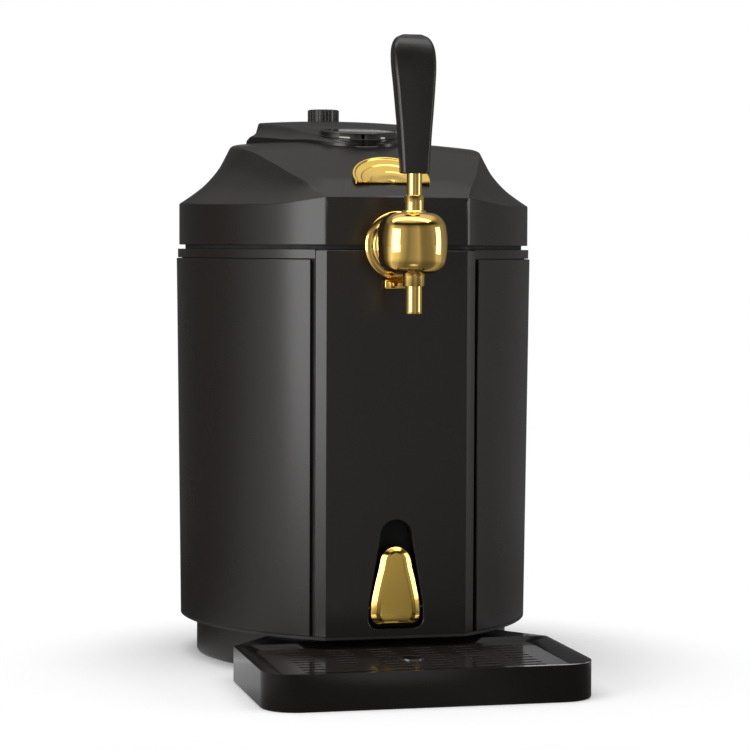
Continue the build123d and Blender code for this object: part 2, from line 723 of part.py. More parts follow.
def hood_form(inset):
    """The hood's whole form: leaning flanks, a round front and back, a sloping face and a level back."""
    with BuildPart() as form:
        for y, base, rim in ((-34, 30.5, 26), (-9.5, 42.5, 30), (hood_break_y, 68, 54), (122, 40, 34)):
            height = min(hood_level, disc_height + hood_slope * (y - disc_centre_y)) - inset
            with BuildSketch(Plane.XZ.offset(-y)):
                with BuildLine():
                    Polyline((-rim + inset, height), (rim - inset, height), (base - inset, 382 - inset),
                             (base - inset, 338), (-base + inset, 338), (-base + inset, 382 - inset), close=True)
                make_face()
        loft(ruled=True)
        with BuildSketch(Plane.XY.offset(330)):
            with BuildLine():
                ThreePointArc((-70 + inset, 62), (0, hood_rear_y - inset), (70 - inset, 62))
                Polyline((70 - inset, 62), (70 - inset, -60), (-70 + inset, -60), (-70 + inset, 62))
            make_face()
        extrude(amount=90, mode=Mode.INTERSECT)
        with BuildSketch(Plane.XY.offset(350)):
            with Locations((0, disc_centre_y)):
                Circle(disc_radius + 0.6 - inset)
        extrude(amount=45)
        with BuildSketch(Plane.YZ.offset(-120)):
            with BuildLine():
                Polyline((-90, 330), (-90, disc_height - inset - hood_slope * (90 + disc_centre_y)),
                         (hood_break_y, hood_level - inset), (150, hood_level - inset), (150, 330), close=True)
            make_face()
        extrude(amount=240, mode=Mode.INTERSECT)
    return form.part


disc_plane = Plane(origin=(0, disc_centre_y, disc_height), x_dir=(1, 0, 0), z_dir=(0, -hood_slope, 1))

with BuildPart() as top_hood:
    add(hood_form(0))
    add(hood_form(2.2), mode=Mode.SUBTRACT)
    add(lid_outside, mode=Mode.SUBTRACT)
    with BuildSketch(disc_plane.offset(-3)):
        Circle(disc_radius - 1)
    extrude(amount=8, mode=Mode.SUBTRACT)
    post(0, knob_y, neck_radius, 390, 410, Mode.SUBTRACT)
top_hood.part.label = "top_hood"
export_step(top_hood.part, "parts/top_hood.step")

with BuildPart() as control_bezel:
    with BuildSketch(disc_plane.offset(-2.8)):
        Circle(disc_radius - 1.1)
        Circle(disc_radius - 3, mode=Mode.SUBTRACT)
    extrude(amount=3.4)
control_bezel.part.label = "control_bezel"
export_step(control_bezel.part, "parts/control_bezel.step")

with BuildPart() as control_disc:
    with BuildSketch(disc_plane.offset(-2)):
        Circle(disc_radius - 3)
    extrude(amount=2.3)
control_disc.part.label = "control_disc"
export_step(control_disc.part, "parts/control_disc.step")

with BuildPart() as control_board:
    with BuildSketch(disc_plane.offset(-3.6)):
        Circle(15)
    extrude(amount=1.6)
    with BuildSketch(disc_plane.offset(-5.4)):
        Rectangle(12, 12)
    extrude(amount=1.8)
control_board.part.label = "control_board"
export_step(control_board.part, "parts/control_board.step")

# Gas regulator and cartridge sleeve


with BuildPart() as regulator_body:
    post(0, knob_y, 11, 346, hood_level - 2.4)
    post(0, knob_y, neck_radius - 0.1, 390, hood_level + 0.2)
    rod_y(0, sleeve_z, 8, sleeve_back + 0.4, knob_y)
    post(0, knob_y, 3.1, 372, 405, Mode.SUBTRACT)
    post(0, knob_y, 3.2, 341, 347)
regulator_body.part.label = "regulator_body"
export_step(regulator_body.part, "parts/regulator_body.step")

with BuildPart() as regulator_knob:
    post(0, knob_y, knob_radius, hood_level + 0.5, hood_level + 10.7)
    chamfer(regulator_knob.edges().group_by(Axis.Z)[-1], 0.8)
    with Locations((0, knob_y, hood_level + 5)):
        with PolarLocations(knob_radius + 0.35, 30):
            Cylinder(0.8, 12, mode=Mode.SUBTRACT)
    post(0, knob_y, 3.05, 380, hood_level + 1)
regulator_knob.part.label = "regulator_knob"
export_step(regulator_knob.part, "parts/regulator_knob.step")

with BuildPart() as cartridge_sleeve:
    rod_y(0, sleeve_z, sleeve_radius, sleeve_front, sleeve_back)
    fillet(cartridge_sleeve.faces().sort_by(Axis.Y)[0].edges(), 4)
    rod_y(0, sleeve_z, 11, sleeve_front + 3, sleeve_back, Mode.SUBTRACT)
cartridge_sleeve.part.label = "cartridge_sleeve"
export_step(cartridge_sleeve.part, "parts/cartridge_sleeve.step")

# Lid latch

latch_lean = math.radians(25.5)
latch_half = 27.0
latch_length = 34.0
latch_thickness = 5.0
blade_front = -138.3
blade_back = -136.2
nose_back = -131.8
nose_bottom = 294.0
latch_plane = Plane(origin=(0, -129, 351.8), x_dir=(1, 0, 0), z_dir=(0, -math.sin(latch_lean), math.cos(latch_lean)))

with BuildPart() as lid_latch:
    with BuildSketch(latch_plane):
        with BuildLine():
            Line((-latch_half, 0), (latch_half, 0))
            ThreePointArc((latch_half, 0), (0, latch_length), (-latch_half, 0))
        make_face()
    extrude(amount=latch_thickness)
    with BuildSketch(latch_plane.offset(latch_thickness)):
        with BuildLine():
            Line((-latch_half + 7, 5), (latch_half - 7, 5))
            ThreePointArc((latch_half - 7, 5), (0, latch_length - 8), (-latch_half + 7, 5))
        make_face()
    extrude(amount=-2.5, mode=Mode.SUBTRACT)
lid_latch.part.label = "lid_latch"
export_step(lid_latch.part, "parts/lid_latch.step")

with BuildPart() as latch_yoke:
    bar((-13, 13), (-123, -111), (latch_pivot_z, 370))
    split(bisect_by=latch_plane, keep=Keep.BOTTOM)
    rod_x(latch_pivot_y, latch_pivot_z, 3.4, -hook_x - hook_half, hook_x + hook_half)
    for side in (-1, 1):
        with BuildSketch(Plane.YZ.offset(side * hook_x - hook_half)):
            with BuildLine():
                Polyline((blade_front, nose_bottom), (nose_back, nose_bottom + 1.6), (nose_back, nose_bottom + 4.6),
                         (blade_back, nose_bottom + 4.6), (blade_back, 336), (-126, 341.3), (-124, 344),
                         (-127, 346), (blade_front, 338.4), close=True)
            make_face()
        extrude(amount=2 * hook_half)
    rod_x(latch_pivot_y, latch_pivot_z, 2.05, -50, 50, Mode.SUBTRACT)
latch_yoke.part.label = "latch_yoke"
export_step(latch_yoke.part, "parts/latch_yoke.step")

with BuildPart() as latch_pin:
    rod_x(latch_pivot_y, latch_pivot_z, 2.0, -40, 40)
    for side in (-1, 1):
        bar((side * 38 - 2, side * 38 + 2), (latch_pivot_y - 2.5, latch_pivot_y + 2.5), (ceiling, latch_pivot_z + 2.5))
latch_pin.part.label = "latch_pin"
export_step(latch_pin.part, "parts/latch_pin.step")

# ---------------------------------------------------------------- tap

bracket_front = -124.0
bracket_back = -118.0

with BuildPart() as tap_bracket:
    bar((-20, 20), (bracket_front, bracket_back), (body_top, 321))
    bar((-20, 20), (bracket_back, -100), (body_top, body_top + 3))
    bar((-keeper_half, keeper_half), (keeper_front, keeper_back), (body_top - deck_thickness, body_top))
    rod_y(0, shank_z, shank_radius, -135, -95, Mode.SUBTRACT)
tap_bracket.part.label = "tap_bracket"
export_step(tap_bracket.part, "parts/tap_bracket.step")

shank_front = -171.0
shank_back = -104.0
plunger_bore = 6.5
hose_radius = 5.0
hose_bore = 3.6

with BuildPart() as tap_shank:
    rod_y(0, shank_z, shank_radius, shank_front, shank_back)
    rod_y(0, shank_z, hose_bore, shank_back, -92)
    rod_y(0, shank_z + 2, plunger_bore, shank_front, -150, Mode.SUBTRACT)
    rod_y(0, shank_z, 2.2, -151, -90, Mode.SUBTRACT)
tap_shank.part.label = "tap_shank"
export_step(tap_shank.part, "parts/tap_shank.step")

with BuildPart() as shank_nut:
    with BuildSketch(Plane.XZ.offset(-bracket_back)):
        with Locations((0, shank_z + 2)):
            RegularPolygon(15, 6)
        with Locations((0, shank_z)):
            Circle(shank_radius, mode=Mode.SUBTRACT)
    extrude(amount=-5)
    bar((-16, 16), (-124, -108), (290, body_top + 3), Mode.SUBTRACT)
shank_nut.part.label = "shank_nut"
export_step(shank_nut.part, "parts/shank_nut.step")

rosette_face = front_plane + gap

with BuildPart() as tap_rosette:
    with BuildSketch(Plane.YZ):
        with BuildLine():
            Polyline((-rosette_face, shank_z + shank_radius), (-rosette_face, shank_z + rosette_radius),
                     (-rosette_face - 2.4, shank_z + rosette_radius), (-rosette_face - 3.4, shank_z + 22.4),
                     (-rosette_face - 3.4, shank_z + 20), (-rosette_face - 7.4, shank_z + 19),
                     (-rosette_face - 8.6, shank_z + 16.5), (-rosette_face - 12, shank_z + 13.5),
                     (shank_front, shank_z + 12.5), (shank_front, shank_z + shank_radius), close=True)
        make_face()
    revolve(axis=Axis((0, 0, shank_z), (0, 1, 0)))
tap_rosette.part.label = "tap_rosette"
export_step(tap_rosette.part, "parts/tap_rosette.step")

with BuildPart() as tap_lock_tab:
    bar((-10.5, 10.5), (-150, -rosette_face), (276.5, 292))
    fillet(tap_lock_tab.edges().filter_by(Axis.Y).group_by(Axis.Z)[0], 3)
    rod_y(0, shank_z, rosette_radius + 0.1, -155, -140, Mode.SUBTRACT)
tap_lock_tab.part.label = "tap_lock_tab"
export_step(tap_lock_tab.part, "parts/tap_lock_tab.step")

slot_half = 3.8
trunnion_radius = 1.6

with BuildPart() as tap_body:
    with Locations((0, tap_y, tap_centre_z)):
        Box(tap_width, tap_depth, tap_height)
    fillet(tap_body.edges().filter_by(Axis.Z), 13)
    fillet(tap_body.edges().group_by(Axis.Z)[-1], 11)
    fillet(tap_body.edges().group_by(Axis.Z)[0], 11)
    with Locations((0, tap_y, 328)):
        Cone(12, 8.4, 5)
    post(0, tap_y, 7.5, 279, 290)
    rod_y(0, shank_z, 12.5, shank_front, tap_y + 10)
    with Locations((0, tap_y, ball_z)):
        Sphere(ball_radius + socket_clearance, mode=Mode.SUBTRACT)
    with Locations((0, tap_y, ball_z - 1.5)):
        Cone(6.0, 7.8, 3.4, mode=Mode.SUBTRACT)
    rod_x(tap_y, ball_z, trunnion_radius + 0.05, -8, 8, Mode.SUBTRACT)
    bar((-slot_half, slot_half), (-204.8, -175.2), (valve_z, 318), Mode.SUBTRACT)
    bar((-slot_half, slot_half), (-199, -181), (315, 328), Mode.SUBTRACT)
    rod_y(0, valve_z, plunger_bore, -204.8, shank_front, Mode.SUBTRACT)
    post(0, tap_y, 4, 278, valve_z, Mode.SUBTRACT)
tap_body.part.label = "tap_body"
export_step(tap_body.part, "parts/tap_body.step")

with BuildPart() as tap_nozzle:
    post(0, tap_y, nozzle_radius, nozzle_bottom, 279)
    post(0, tap_y, 4, nozzle_bottom, 290)
    post(0, tap_y, 3, nozzle_bottom, 290, Mode.SUBTRACT)
tap_nozzle.part.label = "tap_nozzle"
export_step(tap_nozzle.part, "parts/tap_nozzle.step")

toe_z = valve_z
toe_radius = 3.2

with BuildPart() as tap_lever:
    with Locations((0, tap_y, ball_z)):
        Sphere(ball_radius)
    post(0, tap_y, ball_radius, ball_z, 341)
    post(0, tap_y, 5.3, 341, 362)
    post(0, tap_y, 2.2, toe_z, ball_z - 5)
    rod_x(tap_y, ball_z, trunnion_radius, -7.8, 7.8)
    with Locations((0, tap_y, toe_z)):
        Sphere(toe_radius)
tap_lever.part.label = "tap_lever"
export_step(tap_lever.part, "parts/tap_lever.step")

handle_bottom = 356.0
handle_sections = ((356, -190.5, 19, 13), (385, -190.2, 22.5, 13.5), (415, -188.8, 27, 14.5),
                   (433, -186.2, 29.5, 14.5), (444, -183.4, 27.5, 13), (451.5, -180.6, 17, 8))

with BuildPart() as tap_handle:
    for height, y, width, depth in handle_sections:
        with BuildSketch(Plane.XY.offset(height)):
            with Locations((0, y)):
                RectangleRounded(width, depth, min(width, depth) * 0.32)
    loft()
    post(0, tap_y, 5.35, handle_bottom - 1, 362.2, Mode.SUBTRACT)
tap_handle.part.label = "tap_handle"
export_step(tap_handle.part, "parts/tap_handle.step")

with BuildPart() as valve_plunger:
    rod_y(0, valve_z, 6, -198, -182)
    rod_y(0, valve_z, 2.5, -182, -164)
    rod_y(0, valve_z, 4.5, -164, -162)
    bar((-4.2, 4.2), (-193.8, -186.2), (valve_z - 3.6, 320), Mode.SUBTRACT)
    bar((-4.2, 4.2), (-195.2, -184.8), (valve_z + 2.2, 320), Mode.SUBTRACT)
valve_plunger.part.label = "valve_plunger"
export_step(valve_plunger.part, "parts/valve_plunger.step")

with BuildPart() as plunger_seal:
    rod_y(0, valve_z, 6.2, -167, -164)
    rod_y(0, valve_z, 2.5, -168, -163, Mode.SUBTRACT)
plunger_seal.part.label = "plunger_seal"
export_step(plunger_seal.part, "parts/plunger_seal.step")

# Beer line and keg coupler, parked on the deck

coupler_x = -64.7
coupler_y = -86.3
coupler_line_z = 323.0

with BuildPart() as coupler_dock:
    post(coupler_x, coupler_y, 14.8, body_top, body_top + 5)
    post(coupler_x, coupler_y, 13.3, body_top + 2, body_top + 6, Mode.SUBTRACT)
coupler_dock.part.label = "coupler_dock"
export_step(coupler_dock.part, "parts/coupler_dock.step")

with BuildPart() as keg_coupler:
    post(coupler_x, coupler_y, 13.2, body_top + 2, body_top + 14)
    post(coupler_x, coupler_y, 10, body_top + 14, body_top + 24)
    rod_y(coupler_x, coupler_line_z, hose_bore, coupler_y + 4, coupler_y + 20)
    rod_x(coupler_y, coupler_line_z, 3.2, coupler_x - 13, coupler_x)
keg_coupler.part.label = "keg_coupler"
export_step(keg_coupler.part, "parts/keg_coupler.step")

hose_points = ((0, shank_back, shank_z), (0, -68, shank_z), (-12, -38, 314), (-38, -22, 320),
               (-60, -30, coupler_line_z), (coupler_x, -52, coupler_line_z),
               (coupler_x, coupler_y + 10.5, coupler_line_z))


def bend_radii(points):
    """The largest arc that each corner of a route leaves room for."""
    radii = []
    for before, corner, after in zip(points, points[1:], points[2:]):
        first = Vector(*corner) - Vector(*before)
        second = Vector(*after) - Vector(*corner)
        turn = math.radians(first.get_angle(second))
        radii.append(0.45 * min(first.length, second.length) / math.tan(turn / 2))
    return radii


print("hose radii", [round(radius, 1) for radius in bend_radii(hose_points)])

with BuildPart() as beer_hose:
    with BuildLine() as hose_path:
        FilletPolyline(*hose_points, radius=bend_radii(hose_points))
    with BuildSketch(Plane(origin=hose_path.line @ 0, z_dir=hose_path.line % 0)):
        Circle(hose_radius)
        Circle(hose_bore, mode=Mode.SUBTRACT)
    sweep(path=hose_path.line)
beer_hose.part.label = "beer_hose"
export_step(beer_hose.part, "parts/beer_hose.step")

# ---------------------------------------------------------------- drip tray

foot_gap = 1.0
tray_rear_radius = foot_radius + foot_gap
horn_x = 79.3
horn_y = -math.sqrt(tray_rear_radius**2 - horn_x**2)


with BuildPart() as drip_tray:
    with BuildSketch() as tray_outline:
        with BuildLine():
            Polyline((-horn_x, horn_y), (-tray_half_width, -tray_side_back), (-tray_half_width, -tray_front),
                     (tray_half_width, -tray_front), (tray_half_width, -tray_side_back), (horn_x, horn_y))
            ThreePointArc((horn_x, horn_y), (0, -tray_rear_radius), (-horn_x, horn_y))
        make_face()
        fillet(tray_outline.vertices().group_by(Axis.Y)[0], tray_corner)
    extrude(amount=tray_height)
    fillet(drip_tray.edges().group_by(Axis.Z)[0], 1.5)
    grille_middle = -(grille_front + grille_back) / 2
    grille_length = grille_front - grille_back
    with BuildSketch(Plane.XY.offset(grille_top - grille_thickness)):
        with Locations((0, grille_middle)):
            RectangleRounded(2 * grille_half_width + 1, grille_length + 1, 5)
    extrude(amount=grille_thickness, mode=Mode.SUBTRACT)
    with BuildSketch(Plane.XY.offset(grille_top)):
        with Locations((0, grille_middle)):
            RectangleRounded(2 * grille_half_width + 1, grille_length + 1, 5)
    with BuildSketch(Plane.XY.offset(tray_height)):
        with Locations((0, -(253 + 131.5) / 2)):
            RectangleRounded(222, 253 - 131.5, 10)
    loft(ruled=True, mode=Mode.SUBTRACT)
    with BuildSketch(Plane.XY.offset(tray_floor)):
        with Locations((0, grille_middle)):
            RectangleRounded(2 * grille_half_width - 6, grille_length - 6, 6)
    extrude(amount=tray_height, mode=Mode.SUBTRACT)
    bar((-12, 12), (-142, -122), (tray_floor, 15), Mode.SUBTRACT)
    bar((-12, 12), (-129, -122), (tray_floor, 30), Mode.SUBTRACT)
    with BuildSketch() as hollow:
        add(tray_outline.sketch)
        offset(amount=-tray_wall)
        with Locations((0, grille_middle)):
            RectangleRounded(2 * grille_half_width - 6 + 2 * tray_wall, grille_length - 6 + 2 * tray_wall, 8,
                             mode=Mode.SUBTRACT)
        with Locations((0, -126)):
            Rectangle(24 + 2 * tray_wall, 30, mode=Mode.SUBTRACT)
    extrude(amount=grille_top - grille_thickness - tray_wall, mode=Mode.SUBTRACT)
    for side in (-1, 1):
        bar((side * tongue_x - tongue_half, side * tongue_x + tongue_half), (-118, -106), (tongue_low, tongue_high))
drip_tray.part.label = "drip_tray"
export_step(drip_tray.part, "parts/drip_tray.step")

slot_pitch_x = 30.0
slot_pitch_y = 10.2
slot_rows = 9
slot_length = 18.0
slot_width = 4.0
drop_hole_radius = 8.0

with BuildPart() as drip_grille:
    with BuildSketch(Plane.XY.offset(grille_top - grille_thickness)):
        with Locations((0, grille_middle)):
            RectangleRounded(2 * grille_half_width, grille_length, 4.5)
            with GridLocations(slot_pitch_x, slot_pitch_y, 6, slot_rows):
                SlotOverall(slot_length, slot_width, mode=Mode.SUBTRACT)
        with Locations((0, tap_y)):
            Circle(drop_hole_radius + 3)
    extrude(amount=grille_thickness)
    post(0, tap_y, drop_hole_radius + 0.8, grille_top - grille_thickness, grille_top + 0.8)
    post(0, tap_y, drop_hole_radius - 0.6, grille_top - 3, grille_top + 2, Mode.SUBTRACT)
drip_grille.part.label = "drip_grille"
export_step(drip_grille.part, "parts/drip_grille.step")

# ---------------------------------------------------------------- fasteners

with BuildPart() as case_screws:
    with PolarLocations(pad_circle, 4):
        with Locations((0, 0, screw_seat)):
            Cylinder(screw_radius, floor_plate_top - screw_seat, align=(Align.CENTER, Align.CENTER, Align.MIN))
            Cylinder(screw_head_radius, 2.4, align=(Align.CENTER, Align.CENTER, Align.MAX))
case_screws.part.label = "case_screws"
export_step(case_screws.part, "parts/case_screws.step")
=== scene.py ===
"""A worktop dispenser for five litre kegs: cooled body, scooped lid, plated tap, drain lever and drip tray."""

import logging
import math
from dataclasses import dataclass
from enum import Enum
from typing import Any, Callable, Iterable, Optional, Sequence, Union

import bmesh
import bpy
from mathutils import Matrix, Vector
from mathutils.bvhtree import BVHTree

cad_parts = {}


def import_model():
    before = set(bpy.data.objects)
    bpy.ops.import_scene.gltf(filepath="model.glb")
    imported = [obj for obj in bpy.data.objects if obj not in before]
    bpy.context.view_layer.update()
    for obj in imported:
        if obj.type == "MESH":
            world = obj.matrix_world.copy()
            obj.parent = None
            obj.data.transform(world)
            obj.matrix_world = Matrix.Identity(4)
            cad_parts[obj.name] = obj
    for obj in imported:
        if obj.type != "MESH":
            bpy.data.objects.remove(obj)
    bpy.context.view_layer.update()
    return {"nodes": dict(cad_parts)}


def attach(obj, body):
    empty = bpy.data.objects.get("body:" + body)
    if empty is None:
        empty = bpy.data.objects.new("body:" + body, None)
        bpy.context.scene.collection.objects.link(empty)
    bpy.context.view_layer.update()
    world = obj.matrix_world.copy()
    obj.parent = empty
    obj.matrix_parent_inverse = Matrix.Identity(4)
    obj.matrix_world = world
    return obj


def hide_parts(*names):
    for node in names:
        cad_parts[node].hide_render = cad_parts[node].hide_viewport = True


LOG = logging.getLogger("keg_dispenser")
MM = 0.001
FINE = 96  # segments of the broad turned parts
BROKEN = 35  # degrees above which an edge of a node is broken
MERGE, EMPTY = 0.0005, 0.0002  # millimetres below which points and edges count as one or as none
WELD = 0.000002  # metres below which a node's loose points are joined
REGULATOR_Y, WIRING_Y = 106, -11  # millimetres, of the two holes in the crown
ACROSS, ALONG, UP = Vector((1, 0, 0)), Vector((0, 1, 0)), Vector((0, 0, 1))
WHITE = (1, 1, 1, 1)

Point = tuple[float, float]
Curve = Sequence[Point]
Thing = bpy.types.Object


# ------------------------ small tools


def linear(code: str) -> tuple[float, float, float, float]:
    """The linear RGBA of an sRGB hex colour."""
    parts = (int(code[i : i + 2], 16) / 255 for i in (1, 3, 5))
    return tuple(c / 12.92 if c <= 0.04045 else ((c + 0.055) / 1.055) ** 2.4 for c in parts) + (1.0,)


class Graph:
    """A node tree under construction, where every call adds one node and hands back one of its outputs."""

    def __init__(self, tree: bpy.types.NodeTree) -> None:
        """Empties the tree."""
        self.tree = tree
        tree.nodes.clear()

    def add(self, kind: str, inputs: Optional[dict] = None, out: Union[int, str] = 0, **props: Any) -> Any:
        """Adds one node with its settings and links.

        Args:
            kind: The node's type name.
            inputs: Input name or index to a value, or to the output that feeds it.
            out: Name or index of the output that is wanted.
            **props: Settings of the node itself.

        Returns:
            The output, or nothing where the node has none.
        """
        node = self.tree.nodes.new(kind)
        for name, value in props.items():
            setattr(node, name, value)
        for name, value in (inputs or {}).items():
            if isinstance(value, bpy.types.NodeSocket):
                self.tree.links.new(value, node.inputs[name])
            else:
                node.inputs[name].default_value = value
        return node.outputs[out] if len(node.outputs) else None

    def ramp(self, value: Any, low: float, high: float, to: Point = (0.0, 1.0), soft: bool = False) -> Any:
        """Maps a range of a value onto another, level beyond its ends and eased where it is soft."""
        inputs = {"Value": value, "From Min": low, "From Max": high, "To Min": to[0], "To Max": to[1]}
        return self.add("ShaderNodeMapRange", inputs, "Result", interpolation_type="SMOOTHSTEP" if soft else "LINEAR")

    def maths(self, operation: str, first: Any, second: Any) -> Any:
        """One sum of two numbers."""
        return self.add("ShaderNodeMath", {0: first, 1: second}, operation=operation)

    def vectors(self, operation: str, inputs: dict) -> Any:
        """One number from vectors."""
        return self.add("ShaderNodeVectorMath", inputs, "Value", operation=operation)

    def colours(self, share: Any, first: Any, second: Any) -> Any:
        """One colour fading into another."""
        return self.add("ShaderNodeMix", {0: share, 6: first, 7: second}, 2, data_type="RGBA")

    def shaders(self, share: Any, first: Any, second: Any) -> Any:
        """One shader fading into another."""
        return self.add("ShaderNodeMixShader", {"Fac": share, 1: first, 2: second})

    def glow(self, colour: Any, strength: Any, kind: str = "ShaderNodeEmission") -> Any:
        """A shader that gives light of its own."""
        return self.add(kind, {"Color": colour, "Strength": strength})


def put(name: str, data: bpy.types.ID) -> Thing:
    """Puts a mesh, a lamp or a camera into the scene.

    Args:
        name: The object's name.
        data: What it shows.

    Returns:
        The object.
    """
    thing = bpy.data.objects.new(name, data)
    bpy.context.scene.collection.objects.link(thing)
    return thing


def shade(mesh: bpy.types.Mesh, sharp: float) -> None:
    """Shades a mesh smooth up to an angle in degrees."""
    mesh.shade_smooth()
    mesh.set_sharp_from_angle(angle=math.radians(sharp))


def thicken(thing: Thing, wall: float) -> None:
    """Gives a skin its wall, inwards, in millimetres."""
    made = thing.modifiers.new("wall", "SOLIDIFY")
    made.thickness, made.offset = wall * MM, -1


def spot(middle: float, radius: float, angle: float) -> Vector:
    """The plan point at an angle in degrees, from the right towards the back, on a circle about (middle, 0)."""
    turn = math.radians(angle)
    return Vector((middle + radius * math.cos(turn), radius * math.sin(turn), 0))


def heading(angle: float) -> Vector:
    """The unit vector in the plan at an angle in degrees."""
    return spot(0, 1, angle)


def arc(middle: Point, radius: float, angles: Iterable[float]) -> list[Point]:
    """The points of a circle at angles in degrees."""
    return [(middle[0] + radius * math.cos(a), middle[1] + radius * math.sin(a)) for a in map(math.radians, angles)]


def clamped(value: float) -> float:
    """A number held between nought and one."""
    return min(max(value, 0.0), 1.0)


def smooth_curve(points: Curve, at: float) -> float:
    """The height of a smooth curve through points of rising abscissa.

    Args:
        points: The curve's knots.
        at: The abscissa.

    Returns:
        The height there, level beyond the ends.
    """
    if at <= points[0][0]:
        return points[0][1]
    if at >= points[-1][0]:
        return points[-1][1]
    i = next(k for k in range(len(points) - 1) if at <= points[k + 1][0])

    def slope(k: int) -> float:
        """The slope at a knot, from its neighbours."""
        a, b = points[max(k - 1, 0)], points[min(k + 1, len(points) - 1)]
        return (b[1] - a[1]) / (b[0] - a[0])

    (x0, y0), (x1, y1) = points[i], points[i + 1]
    span = x1 - x0
    t = (at - x0) / span
    a, b = slope(i) * span, slope(i + 1) * span
    return y0 * (2 * t**3 - 3 * t**2 + 1) + a * (t**3 - 2 * t**2 + t) + y1 * (3 * t**2 - 2 * t**3) + b * (t**3 - t**2)


def soft_corner(before: Vector, corner: Vector, after: Vector, reach: float, steps: int = 4,
                hold: float = 0.5) -> list[Vector]:
    """Points that round a corner, with one more on each side that keeps the runs flat.

    Args:
        before: A point on the run that comes in.
        corner: The corner itself.
        after: A point on the run that goes out.
        reach: How far from the corner the round starts, in the points' unit.
        steps: Segments of the round.
        hold: How far beyond the round the keeping points lie.

    Returns:
        The points of the round, first and last on the two runs.
    """
    ways = (before - corner, after - corner)
    ends = [corner + way.normalized() * min(reach, way.length * 0.4) for way in ways]
    outer = [corner + way.normalized() * min(reach + hold, way.length * 0.8) for way in ways]
    a, b = ends
    bend = [a.lerp(corner, i / steps).lerp(corner.lerp(b, i / steps), i / steps) for i in range(steps + 1)]
    return [outer[0]] + bend + [outer[1]]


class Body(Enum):
    """The moving groups of the frame that carry a piece made here."""

    HOUSING = "housing"
    LID = "lid"
    LATCH = "latch"
    LEVER = "lever"
    DRAIN_HANDLE = "drain_handle"


